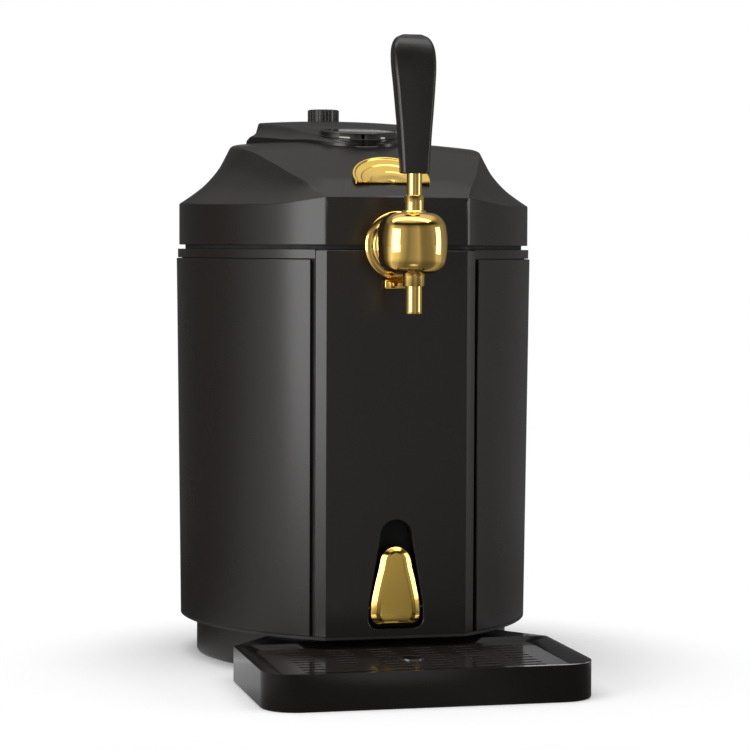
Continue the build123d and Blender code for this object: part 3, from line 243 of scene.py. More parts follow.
class Surface:
    """A mesh under construction, in millimetres, with the operators that this object needs."""

    def __init__(self) -> None:
        """Starts an empty mesh."""
        self.bm = bmesh.new()

    def skin(self, sections: Sequence[Sequence[Vector]]) -> "Surface":
        """Lays a net of faces over sections.

        Args:
            sections: The sections, in order, with the same number of points.

        Returns:
            This surface.
        """
        rows, columns = len(sections) - 1, len(sections[0]) - 1
        made = bmesh.ops.create_grid(self.bm, x_segments=rows, y_segments=columns, size=0.5)
        for vert in made["verts"]:
            vert.co = sections[round((vert.co.x + 0.5) * rows)][round((vert.co.y + 0.5) * columns)]
        return self.tidy()

    def turn(self, profile: Curve, centre: Vector, axis: Vector, steps: int = 72, full: bool = False) -> "Surface":
        """Turns a profile of (radius, distance along the axis) points about an axis.

        Args:
            profile: The profile's points.
            centre: The point where the distance along the axis is nought.
            axis: The axis's direction.
            steps: Segments of the full turn.
            full: Whether the profile closes on itself, as for a ring.

        Returns:
            This surface.
        """
        side = axis.orthogonal().normalized()
        chain = [self.bm.verts.new(centre + side * r + axis.normalized() * d) for r, d in profile]
        pairs = list(zip(chain, chain[1:])) + ([(chain[-1], chain[0])] if full else [])
        edges = [self.bm.edges.new(pair) for pair in pairs]
        bmesh.ops.spin(self.bm, geom=chain + edges, cent=centre, axis=axis, angle=math.tau, steps=steps,
                       use_merge=True)
        return self.tidy()

    def rod(self, radius: float, low: float, high: float, foot: Vector, axis: Vector = UP,
            steps: int = 48) -> "Surface":
        """Adds a closed round bar between two distances along an axis."""
        return self.turn([(0, low), (radius, low), (radius, high), (0, high)], foot, axis, steps)

    def block(self, size: Vector, centre: Vector) -> "Surface":
        """Adds a box that later operators shape.

        Args:
            size: Its three lengths.
            centre: Its middle.

        Returns:
            This surface.
        """
        made = bmesh.ops.create_cube(self.bm, size=1.0)
        bmesh.ops.scale(self.bm, vec=size, verts=made["verts"])
        bmesh.ops.translate(self.bm, vec=centre, verts=made["verts"])
        return self

    def soften(self, reach: float, angle: float = 30, steps: int = 3,
               keep: Callable[[bmesh.types.BMEdge], bool] = lambda edge: True) -> "Surface":
        """Bevels the edges that are sharper than an angle.

        Args:
            reach: Width of the bevel.
            angle: Smallest angle between faces, in degrees.
            steps: Segments of the bevel.
            keep: Which of the sharp edges are bevelled.

        Returns:
            This surface.
        """
        limit = math.radians(angle)
        edges = [e for e in self.bm.edges if len(e.link_faces) == 2 and e.calc_face_angle(0) > limit and keep(e)]
        bmesh.ops.bevel(self.bm, geom=edges, offset=reach, segments=steps, profile=0.5, affect="EDGES", material=-1,
                        clamp_overlap=True)
        return self.tidy()

    def tidy(self) -> "Surface":
        """Closes seams and poles, drops empty faces and points the rest outwards.

        Returns:
            This surface.
        """
        bmesh.ops.remove_doubles(self.bm, verts=self.bm.verts, dist=MERGE)
        bmesh.ops.dissolve_degenerate(self.bm, edges=self.bm.edges, dist=EMPTY)
        bmesh.ops.recalc_face_normals(self.bm, faces=self.bm.faces)
        return self

    def capped(self) -> "Surface":
        """Closes every open end with a face."""
        bmesh.ops.holes_fill(self.bm, edges=self.bm.edges, sides=0)
        return self.tidy()

    def mirrored(self) -> "Surface":
        """Adds the other half across the middle plane.

        Returns:
            This surface.
        """
        everything = self.bm.verts[:] + self.bm.edges[:] + self.bm.faces[:]
        bmesh.ops.mirror(self.bm, geom=everything, matrix=Matrix.Identity(4), merge_dist=0.001, axis="X")
        return self.tidy()

    def mesh(self, name: str) -> bpy.types.Mesh:
        """Ends the construction.

        Args:
            name: The mesh's name.

        Returns:
            The mesh, in metres.
        """
        bmesh.ops.scale(self.bm, vec=Vector((MM, MM, MM)), verts=self.bm.verts)
        made = bpy.data.meshes.new(name)
        self.bm.to_mesh(made)
        self.bm.free()
        return made

    def piece(self, name: str, body: Body, finish: "Finish", replaces: str = "", sharp: float = 32,
              slot: str = "black_gloss") -> Thing:
        """Turns the mesh into a finished piece.

        Args:
            name: The piece's name.
            body: The body that it rides on.
            finish: Its finish.
            replaces: The names of the CAD nodes that it stands for, if any.
            sharp: Angle above which an edge is shaded as a crease, in degrees.
            slot: A material slot name; not used.

        Returns:
            The object.
        """
        mesh = self.mesh(name)
        shade(mesh, sharp)
        thing = put(name, mesh)
        mesh.materials.append(finish.material())
        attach(thing, body.value)
        nodes = replaces.split()
        if nodes:
            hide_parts(*nodes)
        LOG.info("piece %s: %d faces", name, len(mesh.polygons))
        return thing


def carve(thing: Thing, cutters: Sequence[Surface], sharp: float = 34) -> None:
    """Cuts holes through a piece and keeps the result as its mesh.

    Args:
        thing: The piece, whose live modifiers are baked first.
        cutters: Closed forms to take away, in millimetres.
        sharp: Angle above which an edge is shaded as a crease, in degrees.
    """
    helpers = [put(f"cutter_{index}", cutter.mesh(f"cutter_{index}")) for index, cutter in enumerate(cutters)]
    for helper in helpers:
        cut = thing.modifiers.new(helper.name, "BOOLEAN")
        cut.operation, cut.solver, cut.use_self, cut.object = "DIFFERENCE", "EXACT", True, helper
    bpy.context.view_layer.update()
    ready = thing.evaluated_get(bpy.context.evaluated_depsgraph_get())
    mesh = bpy.data.meshes.new_from_object(ready)
    thing.modifiers.clear()
    thing.data = mesh
    shade(mesh, sharp)
    for helper in helpers:
        bpy.data.objects.remove(helper)


# ------------------------ finishes


@dataclass(frozen=True)
class Finish:
    """A surface as it was made, with the numbers that its maker would quote.

    The colour is what a flat lit sample shows, the roughness is the shader's, and the two
    patterns are a broad one that varies the gloss and a fine one that is the tool's texture.
    """

    name: str
    colour: str
    roughness: float
    metallic: float = 0.0
    ior: float = 1.5
    drift_mm: float = 60.0
    drift: float = 0.06
    grain_mm: float = 0.6
    grain: float = 0.02
    tint: str = ""
    tint_share: float = 0.35
    clear: float = 0.0
    stretch: tuple[float, float, float] = (1.0, 1.0, 1.0)
    cells: bool = False
    shine: float = 0.5

    def material(self) -> bpy.types.Material:
        """The node material, made once and shared."""
        known = bpy.data.materials.get(self.name)
        return known if known else self._make()

    def _make(self) -> bpy.types.Material:
        """Builds the nodes: gloss drift, colour drift and tool texture.

        Returns:
            The material.
        """
        material = bpy.data.materials.new(self.name)
        material.use_nodes = True
        graph = Graph(material.node_tree)
        place = graph.add("ShaderNodeTexCoord", out="Object")
        stretched = graph.add("ShaderNodeMapping", {"Vector": place, "Scale": self.stretch})
        broad = graph.add("ShaderNodeTexNoise", {"Vector": place, "Scale": 1000 / self.drift_mm, "Detail": 3.0,
                                                 "Roughness": 0.5}, "Fac")
        grain = {"Vector": stretched, "Scale": 1000 / self.grain_mm}
        if self.cells:
            relief = graph.add("ShaderNodeTexVoronoi", grain, "Distance")
        else:
            relief = graph.add("ShaderNodeTexNoise", grain | {"Detail": 2.0, "Roughness": 0.55}, "Fac")
        swing = self.drift * 2
        gloss = graph.ramp(broad, 0.3, 0.7, (self.roughness * (1 - swing), self.roughness * (1 + swing)))
        share = graph.ramp(relief if self.cells else broad, 0.35, 0.65, (0.0, self.tint_share if self.tint else 0.0))
        colour = graph.colours(share, linear(self.colour), linear(self.tint or self.colour))
        bump = graph.add("ShaderNodeBump", {"Height": relief, "Strength": 0.6, "Distance": self.grain * MM})
        shader = graph.add("ShaderNodeBsdfPrincipled",
                           {"Base Color": colour, "Roughness": gloss, "Metallic": self.metallic, "Normal": bump,
                            "Transmission Weight": self.clear})
        if not self.metallic:
            shader.node.inputs["IOR"].default_value = self.ior
            shader.node.inputs["Specular IOR Level"].default_value = self.shine
        graph.add("ShaderNodeOutputMaterial", {"Surface": shader})
        return material


# Injection-moulded ABS from a lightly etched tool: near black, with long soft reflections.
BODY_ABS = Finish("satin_black_abs", "#1b1714", 0.27, drift_mm=90, drift=0.05, grain_mm=0.5, grain=0.004, shine=0.42)
# The same ABS from a polished tool, for the tray and the read-out's foot: sharper reflections.
GLOSS_ABS = Finish("polished_black_abs", "#110e0c", 0.13, drift_mm=70, drift=0.08, grain_mm=1.6, grain=0.003,
                   shine=0.3)
# Moulded ABS from a coarser etched tool, for the tap handle: a dry black with pale broken edges.
HANDLE_ABS = Finish("etched_black_abs", "#1c1917", 0.3, drift_mm=30, drift=0.08, grain_mm=0.35, grain=0.006,
                    shine=0.42)
# Stove-enamelled steel, for the slotted plate of the tray: black under a hard gloss.
COATED_STEEL = Finish("stoved_black_steel", "#2a2522", 0.13, ior=2.0, drift_mm=40, drift=0.1, grain_mm=0.7,
                      grain=0.002)
# Textured ABS in the pocket behind the lever, coloured darker than the case's ABS: painted shade for the recess.
POCKET_SHADE_ABS = Finish("pocket_abs_painted_shade", "#0b0908", 0.42, drift_mm=20, grain_mm=0.5, grain=0.01, shine=0.22)
# Unpainted structural ABS inside the case: dull, slightly brown, flow marks.
INNER_ABS = Finish("dull_black_abs", "#191716", 0.55, tint="#23201e", drift_mm=25, drift=0.1, grain_mm=0.8, grain=0.01)
# Gold-coloured electroplate over buffed brass: mirror bright, with a breath of unevenness.
PLATED_BRASS = Finish("plated_brass", "#ecc46e", 0.045, metallic=1.0, drift_mm=18, drift=0.25, grain_mm=4.0,
                      grain=0.002, tint="#e8bf66")
# Dark chrome on the moulded ring of the read-out: a grey mirror.
BLACK_CHROME = Finish("black_chrome_trim", "#5a5754", 0.06, metallic=1.0, drift_mm=10, drift=0.15, grain_mm=2.0,
                      grain=0.001)
# The gold plate over moulded plastic, softer over the edges.
PLATED_ABS = Finish("plated_abs", "#eec762", 0.09, metallic=1.0, drift_mm=14, drift=0.2, grain_mm=3.0, grain=0.004,
                    tint="#e8c06a")
# Blown polystyrene beads pressed together: white cells with dull seams.
BEAD_FOAM = Finish("bead_foam", "#e6e4de", 0.75, tint="#c9c6be", grain_mm=3.0, grain=0.25, cells=True)
# Rolled and drawn aluminium sheet: fine vertical brushing.
SPUN_ALUMINIUM = Finish("brushed_aluminium", "#d0d2d3", 0.42, metallic=1.0, drift_mm=20, drift=0.03, grain_mm=0.6,
                        grain=0.006, stretch=(1.0, 1.0, 0.03), tint="#aeb0b2")
# Zinc-plated steel: grey-blue, slightly cloudy.
ZINC_STEEL = Finish("zinc_plated_steel", "#b5b8bb", 0.26, metallic=1.0, drift_mm=6, drift=0.2, grain_mm=0.5,
                    grain=0.003, tint="#9da1a6")
# Sintered alumina: matt white with a fine tooth.
ALUMINA = Finish("sintered_alumina", "#e9e7df", 0.6, drift_mm=8, grain_mm=0.3, grain=0.006, tint="#dcd8cc")
# Glass-fibre board under green solder mask: woven tooth under a gloss film.
SOLDER_MASK = Finish("solder_mask_board", "#1d5a36", 0.35, drift_mm=5, grain_mm=0.9, grain=0.01, tint="#2d7a48",
                     cells=True, tint_share=0.5)
# Moulded nitrile rubber: dead black with a bloom.
NITRILE = Finish("nitrile_rubber", "#1c1c1c", 0.7, drift_mm=8, drift=0.1, grain_mm=0.4, grain=0.01, tint="#2a2a2a")
# Food-grade silicone hose: milky and half clear.
SILICONE = Finish("silicone_hose", "#d9dbd6", 0.3, ior=1.41, drift_mm=15, grain_mm=1.0, grain=0.004, clear=0.35)
# Smoked polycarbonate of the read-out: black mirror.
SMOKED_LENS = Finish("smoked_polycarbonate", "#0b0a0a", 0.08, drift_mm=40, drift=0.1, grain_mm=6.0, grain=0.001,
                     shine=0.3)
# Pad-printed grey ink on the lens: flat and slightly broken.
GREY_INK = Finish("grey_print_ink", "#a9a6a2", 0.5, drift_mm=6, drift=0.1, grain_mm=0.4, grain=0.004, tint="#77746f")


def weld_and_shade(limit: float = 28) -> bpy.types.NodeTree:
    """The modifier group that joins a node's loose triangles and shades it smooth.

    Args:
        limit: Angle above which an edge is shaded as a crease, in degrees.

    Returns:
        The group, made once and shared.
    """
    name = f"weld_and_shade_{limit:.0f}"
    known = bpy.data.node_groups.get(name)
    if known:
        return known
    tree = bpy.data.node_groups.new(name, "GeometryNodeTree")
    for way in ("INPUT", "OUTPUT"):
        tree.interface.new_socket("Geometry", in_out=way, socket_type="NodeSocketGeometry")
    graph = Graph(tree)
    mesh = graph.add("NodeGroupInput")
    mesh = graph.add("GeometryNodeRemoveAttribute", {"Geometry": mesh, "Name": "custom_normal"})
    mesh = graph.add("GeometryNodeMergeByDistance", {"Geometry": mesh, "Distance": WELD})
    mesh = graph.add("GeometryNodeSetShadeSmooth", {"Geometry": mesh, "Shade Smooth": True}, domain="FACE")
    bend = graph.add("GeometryNodeInputMeshEdgeAngle", out="Unsigned Angle")
    steep = graph.add("FunctionNodeCompare", {0: bend, 1: math.radians(limit)}, "Result", data_type="FLOAT",
                      operation="GREATER_THAN")
    mesh = graph.add("GeometryNodeSetShadeSmooth", {"Geometry": mesh, "Selection": steep, "Shade Smooth": False},
                     domain="EDGE")
    graph.add("NodeGroupOutput", {"Geometry": mesh})
    return tree


def dress(node: Thing, finish: Finish, bevel: float = 0.0) -> None:
    """Gives a CAD node its finish and clean shading.

    Args:
        node: The node's object.
        finish: Its finish.
        bevel: Width in millimetres of a broken edge, or nought.
    """
    node.data.materials.clear()
    node.data.materials.append(finish.material())
    node.modifiers.new("weld_and_shade", "NODES").node_group = weld_and_shade()
    if bevel:
        edge = node.modifiers.new("broken_edge", "BEVEL")
        edge.width, edge.segments, edge.profile, edge.harden_normals = bevel * MM, 2, 0.5, False
        edge.limit_method, edge.angle_limit = "ANGLE", math.radians(BROKEN)


# ------------------------ the lid


@dataclass
class Lid:
    """The scooped lid: flat front, two flanks scooped from a sharp ridge, and an arched crown."""

    front: float = -143.65
    crease: float = 51.0
    half_width: float = 131.0
    bottom: float = 307.0
    wall: float = 2.5
    turned_in: float = 2.4
    flank_steps: int = 14
    seal: float = 1.6
    inner_ridge: float = 92.0
    sharp: float = 0.6
    swell: float = 6.8
    blunt: float = 7.0
    notch: float = 12.5
    neck: float = 12.0
    wiring: float = 16.0
    window: tuple[Vector, Vector] = (Vector((32, 19, 25)), Vector((0, -116.5, 357.5)))
    pole: Vector = Vector((0, 12, 0))
    hinge: Vector = Vector((0, 137, 306))
    crown: Curve = ((-143.65, 341.2), (-125, 352.6), (-100, 362), (-75, 371), (-51, 379), (-20, 384.3),
                    (0, 385.6), (30, 387.2), (60, 387.9), (140, 388))
    arch: float = 0.0006
    band: Curve = ((-143.65, 340.6), (-129, 337.8), (-113, 335.9), (-51, 336.4), (0, 337.6), (131, 337.6))
    ridge: Curve = ((0, 92.0), (6.6, 92.4), (26.8, 97.4), (36.7, 102.7), (47.6, 114.3), (51.0, 118.9),
                    (54.3, 123.6), (58.2, 131.0))
    scoop: Curve = ((0, 0), (0.229, 0.138), (0.465, 0.3), (0.64, 0.463), (0.78, 0.625), (0.878, 0.787), (1, 1))

    @property
    def centre(self) -> float:
        """Where the flank's arc has its centre, across the middle plane."""
        spread = self.half_width - self.crease
        return (self.half_width + self.crease) / 2 - self.front**2 / (2 * spread)

    @property
    def corner(self) -> float:
        """The angle of the front corner on the flank's arc, in degrees."""
        return math.degrees(math.atan2(-self.front, self.crease - self.centre))

    def crown_at(self, x: float, y: float) -> float:
        """Height of the crown over a point of the plan."""
        return smooth_curve(self.crown, y) - self.arch * x * x

    def inwards(self, ridge: Vector, share: float) -> Vector:
        """The point of the crown at a share of the way from the ridge to the pole."""
        at = ridge.lerp(self.pole, share)
        return Vector((at.x, at.y, self.crown_at(at.x, at.y)))

    def section(self, edge: Vector, ridge: Vector, straight: float, soft: float) -> list[Vector]:
        """One section of the skin, from the rim's foot over the ridge to the middle.

        Args:
            edge: The plan point of the outline.
            ridge: The plan point of the ridge, inside it.
            straight: 1 where the flank is straight, 0 where it is fully scooped.
            soft: How far from the ridge its round starts.

        Returns:
            The section's points.
        """
        band_top, ridge_top = smooth_curve(self.band, edge.y), self.crown_at(ridge.x, ridge.y)
        foot = edge + UP * self.bottom
        shoulder = edge + UP * band_top
        peak = ridge + UP * ridge_top
        flank = []
        for i in range(1, self.flank_steps):
            t = i / self.flank_steps
            rise = smooth_curve(self.scoop, t) * (1 - straight) + t * straight
            flank.append(edge.lerp(ridge, t) + UP * (band_top + (ridge_top - band_top) * rise))
        crown = [self.inwards(ridge, 0.12 + 0.88 * i / 18) for i in range(19)]
        rim = soft_corner(foot - edge.normalized() * self.turned_in, foot, shoulder, reach=0.6, steps=3)
        knee = soft_corner(foot, shoulder, flank[0], reach=0.8)
        turn = soft_corner(flank[-1], peak, crown[0], soft, steps=5, hold=0.6)
        return rim + knee + flank + turn + crown

    def plan(self) -> list[tuple[Vector, Vector, float, float]]:
        """Lays out the sections of the right half, front to back.

        Returns:
            Outline point, ridge point, straightness and ridge's round of each section.
        """
        rows = []
        for x in (0, 4, 8, 14, 20, 26, 32, 38, 43, 47, 49.2, 50.3):
            rows.append((Vector((x, self.front, 0)), Vector((x * 0.994, self.front + 1.0, 0)), 1.0, self.sharp))
        for share in (0.992, 0.985, 0.97, 0.95, 0.93, 0.9, 0.87, 0.84, 0.8, 0.76, 0.72, 0.68, 0.63, 0.58, 0.53,
                      0.48, 0.43, 0.38, 0.33, 0.28, 0.23, 0.18, 0.13, 0.08, 0.03):
            angle = self.corner * share
            reach = min(smooth_curve(self.ridge, angle), self.half_width - 1.1) - self.centre
            straight = max(0.0, (share - 0.55) / 0.45) ** 1.5
            soft = self.sharp + self.swell * max(0.0, 1 - share / 0.3) ** 1.4
            edge, ridge = (spot(self.centre, r, -angle) for r in (self.half_width - self.centre, reach))
            rows.append((edge, ridge, straight, soft))
        for i in range(19):
            way = heading(i * 5)
            rows.append((way * self.half_width, way * self.inner_ridge, 0.0, self.blunt))
        return rows

    def build(self) -> Thing:
        """Builds the shell and cuts its openings: the tap's notch, the latch's window and two round holes.

        Returns:
            The object.
        """
        shell = Surface().skin([self.section(*row) for row in self.plan()]).mirrored()
        thing = shell.piece("lid_skin", Body.LID, BODY_ABS, "lid_shell", sharp=34)
        thicken(thing, self.wall)
        notch = Surface().rod(self.notch, -160, -130, UP * self.bottom, ALONG)
        window = Surface().block(*self.window).tidy()
        neck = Surface().rod(self.neck, 340, 400, ALONG * REGULATOR_Y)
        wiring = Surface().rod(self.wiring, 370, 400, ALONG * WIRING_Y)
        carve(thing, [notch, window, neck, wiring])
        return thing

    def strip(self, name: str, body: Body, inset: float, low: float, high: float, gap: float) -> None:
        """A dark rubber strip that follows the outline inside the gaps under the lid's rim and over the panels: painted
        shade, a dark sheet standing in for the shade in those gaps.

        Args:
            name: The piece's name.
            body: The body that it rides on.
            inset: How far inside the outline it runs.
            low: Height of its foot.
            high: Height of its top.
            gap: Half of the opening at the front, where the tap's shank passes, or nought.
        """
        radius = self.half_width - self.centre - inset
        front = ALONG * (self.front + inset)
        path = [ACROSS * gap + front, ACROSS * (self.crease - inset / 2) + front]
        path += [spot(self.centre, radius, -self.corner * (1 - i / 24)) for i in range(1, 25)]
        path += [spot(0, self.half_width - inset, 2.5 * i) for i in range(1, 37)]
        section = ((0, high), (0, low + 0.2), (0.15, low), (0.85, low), (1, low + 0.2), (1, high), (0, high))
        sections = [[at - at.normalized() * self.seal * share + UP * z for share, z in section] for at in path]
        Surface().skin(sections).capped().mirrored().piece(name, body, NITRILE, sharp=40, slot="rubber")

    def lugs(self) -> None:
        """The two hinge lugs under the lid's back edge."""
        made = Surface()
        for side in (-1, 1):
            made.turn([(2.55, side * 28), (5.5, side * 28), (5.5, side * 43), (2.55, side * 43)], self.hinge, ACROSS,
                      40, full=True)
        made.soften(reach=0.4, angle=40).piece("lid_hinge_lugs", Body.LID, INNER_ABS)


@dataclass
class Hood:
    """The low hood on the crown: coved flanks and a domed top that slopes to the read-out."""

    foot: Curve = ((0, -48.6), (11.6, -47.6), (20.6, -43.6), (27.2, -37.6), (33, -29), (42.5, -9.5), (52, 14), (62, 39),
                   (70.4, 61), (70.2, 72), (64, 88), (52.5, 103.5), (34.5, 115.5), (16.5, 121.3), (0, 122.8))
    rim: Curve = ((0, -47.6), (11.2, -46.6), (19.4, -41.6), (25, -34.6), (28.6, -27), (33, -11), (40, 14), (49, 39),
                  (57.4, 60), (58.6, 72), (55, 86), (46, 100.5), (30.5, 112.6), (14.5, 118.6), (0, 120.2))
    cove: Curve = ((0, 0), (0.26, 0.17), (0.53, 0.41), (0.74, 0.65), (0.89, 0.88), (1, 1))
    count: int = 56
    sunk: float = 1.0
    plinth: float = 2.2
    shoulder: float = 3.0
    wall: float = 2.2
    level: float = 404.0
    slope: float = 0.1604
    break_y: float = 62.0
    neck: float = 7.2
    dome: float = 0.0006
    pole: Vector = Vector((0, 30, 0))
    back: Curve = ((44, 401.1), (54, 402.6), (64, 403.6), (76, 404), (130, 404))

    def top_at(self, x: float, y: float) -> float:
        """Height of the hood's top over a point of the plan."""
        ramp = self.level - self.slope * (self.break_y - y) if y < self.back[0][0] else smooth_curve(self.back, y)
        return ramp - self.dome * x * x * clamped((y + 12) / 60) - clamped((24 - y) / 12)

    def on_top(self, at: Vector) -> Vector:
        """The point of the hood's top over a point of the plan."""
        return Vector((at.x, at.y, self.top_at(at.x, at.y)))

    def even(self, curve: Curve, share: float) -> Vector:
        """The plan point at a share of a curve's knots, smoothly between them."""
        x, y = (smooth_curve(tuple(enumerate(values)), share * (len(curve) - 1)) for values in zip(*curve))
        return Vector((max(x, 0.0), y, 0))

    def build(self, skin: Thing) -> None:
        """Builds the hood down to the lid's skin, over the crown and down the back.

        Args:
            skin: The lid's skin, which carries it.
        """
        tree = BVHTree.FromPolygons([v.co for v in skin.data.vertices], [p.vertices for p in skin.data.polygons])
        sections = []
        for i in range(self.count + 1):
            base, rim = (self.even(curve, i / self.count) for curve in (self.foot, self.rim))
            under = tree.ray_cast(Vector((base.x, base.y, self.level)) * MM, Vector((0, 0, -1)))[0]
            ground = under.z / MM
            foot = base + UP * (ground - self.sunk)
            lip = base + UP * (ground + self.plinth + self.shoulder * clamped((base.y - 10) / 45))
            peak = self.on_top(rim)
            run = [base.lerp(rim, k / 12) + UP * (lip.z + (peak.z - lip.z) * smooth_curve(self.cove, k / 12))
                   for k in range(1, 12)]
            tops = [self.on_top(rim.lerp(self.pole, 0.1 + 0.9 * k / 12)) for k in range(13)]
            sections.append([foot] + soft_corner(foot, lip, run[0], reach=0.5, steps=3) + run
                            + soft_corner(run[-1], peak, tops[0], reach=1.3, steps=5) + tops)
        made = Surface().skin(sections).mirrored()
        thing = made.piece("hood_skin", Body.LID, BODY_ABS, "top_hood", sharp=40, slot="black_plastic")
        thicken(thing, self.wall)
        carve(thing, [Surface().rod(self.neck, 390, 410, ALONG * REGULATOR_Y, steps=40)], sharp=40)


@dataclass
class ReadOut:
    """The round read-out in the hood: a foot, a bright-edged rim, a smoked lens and its grey print."""

    seat: Vector = Vector((0, -19, 391))
    slope: Vector = Vector((0, -0.1604, 1))
    centre: Vector = Vector((0, -19, 392.6))
    axis: Vector = Vector((0, -0.106, 1))
    crown: float = 0.0002

    def foot(self) -> None:
        """The round wall under the rim, flared where it meets the crown."""
        profile = [(27, -1), (30.2, -1), (30.7, -1.15), (30.95, -1.5), (31.05, -2.1), (31.1, -5), (31.25, -5.7),
                   (31.7, -6.4), (32.4, -6.9), (33.4, -7.3), (33.4, -8.6), (27, -8.6)]
        made = Surface().turn(profile, self.seat, self.slope, FINE, full=True)
        made.piece("read_out_foot", Body.LID, GLOSS_ABS, sharp=42)

    def collar(self) -> None:
        """The rim around the lens, a little steeper than the hood, with a drafted edge."""
        profile = [(27.7, -3), (27.7, -0.1), (27.85, 0.08), (28.3, 0.15), (28.75, 0.05), (29.0, -0.2), (29.1, -0.5),
                   (29.75, -2.7), (29.85, -3.1), (29.9, -5.2), (27.7, -5.2)]
        made = Surface().turn(profile, self.centre, self.axis, FINE, full=True)
        made.piece("read_out_collar", Body.LID, BLACK_CHROME, "control_bezel", sharp=42)

    def lens(self) -> None:
        """The dark disc, slightly crowned."""
        profile = [(0, 0.1), (12, 0.08), (22, 0), (26.4, -0.08), (27.2, -0.2), (27.5, -0.5), (27.5, -3), (0, -3)]
        made = Surface().turn(profile, self.centre, self.axis, FINE)
        made.piece("read_out_lens", Body.LID, SMOKED_LENS, "control_disc", sharp=42)

    def on_lens(self, x: float, y: float, lift: float) -> Vector:
        """A point at a height over the lens's crown."""
        drop = self.crown * (x * x + y * y)
        return self.centre + Vector((x, y, -self.axis.y * y)) + self.axis.normalized() * (0.08 + lift - drop)

    def prints(self) -> None:
        """Two plain rings and the band that joins them, as raised ink on the lens."""
        made = Surface()
        for x, y, radius in ((-7, 4, 5.6), (20, 4, 4.6)):
            profile = [(radius - 1.1, 0), (radius - 1.0, 0.12), (radius, 0.12), (radius + 0.1, 0)]
            made.turn(profile, self.on_lens(x, y, 0), self.axis.normalized(), 40, full=True)
        across = ((5.1, -0.08), (5.0, 0.12), (3.0, 0.12), (2.9, -0.08))
        made.skin([[self.on_lens(-1.8 + 17.6 * i / 12, y, lift) for y, lift in across] for i in range(13)])
        made.piece("read_out_print", Body.LID, GREY_INK, sharp=60)


@dataclass
class Latch:
    """The plated half-moon that releases the lid, dished in steps for the fingertips."""

    origin: Vector = Vector((0, -129, 351.8))
    lean: float = 25.5
    half: float = 27.0
    length: float = 34.0
    thin: float = 0.9
    thick: float = 4.9
    wall: float = 0.8
    hover: float = 0.35

    def bow(self, half: float, length: float) -> list[Point]:
        """One arc on the leaning face.

        Args:
            half: Half of its width.
            length: Its rise.

        Returns:
            Its points, from the left end to the right.
        """
        radius = (half**2 + length**2) / (2 * length)
        low = math.degrees(math.asin((radius - length) / radius))
        return arc((0, length - radius), radius, [180 - low - (180 - 2 * low) * i / 48 for i in range(49)])

    def build(self, lid: Lid) -> None:
        """Builds the half-moon from arcs that shrink towards the middle of its front edge.

        Args:
            lid: The lid whose crown it lies on.
        """
        lean = math.radians(self.lean)
        up_slope = Vector((0, math.cos(lean), math.sin(lean)))
        out = Vector((0, -math.sin(lean), math.cos(lean)))
        rings = ((1.0, 1.0, 0.0), (1.0, 1.0, -0.9), (0.997, 0.997, -0.3), (0.985, 0.985, 0.0), (0.955, 0.955, 0.0),
                 (0.945, 0.945, -0.15), (0.93, 0.93, -0.85), (0.92, 0.915, -0.95), (0.86, 0.8, -1.1),
                 (0.83, 0.745, -1.15), (0.82, 0.73, -1.3), (0.805, 0.715, -1.8), (0.795, 0.7, -1.9), (0.7, 0.58, -2.0),
                 (0.6, 0.49, -2.05), (0.59, 0.475, -2.2), (0.575, 0.46, -2.6), (0.565, 0.45, -2.7), (0.4, 0.3, -2.7),
                 (0.2, 0.15, -2.5), (0.01, 0.01, -2.4))

        def on_lid(at: Vector) -> Vector:
            """The point that hovers over the lid's crown."""
            return Vector((at.x, at.y, lid.crown_at(at.x, at.y) + self.hover))

        sections = []
        for index, (wide, tall, drop) in enumerate(rings):
            row = []
            for u, v in self.bow(self.half * wide, self.length * tall):
                share = v / self.length
                face = self.thin + (self.thick - self.thin) * share + drop * min(1.0, 0.3 + 1.2 * share)
                at = self.origin + ACROSS * u + up_slope * v
                row.append(at + out * face if index else on_lid(at))
            sections.append([on_lid(row[0])] + row + [on_lid(row[-1])])
        made = Surface().skin(sections)
        thicken(made.piece("latch_moon", Body.LATCH, PLATED_ABS, "lid_latch", sharp=44, slot="gold_plastic"), self.wall)


# ------------------------ the tap


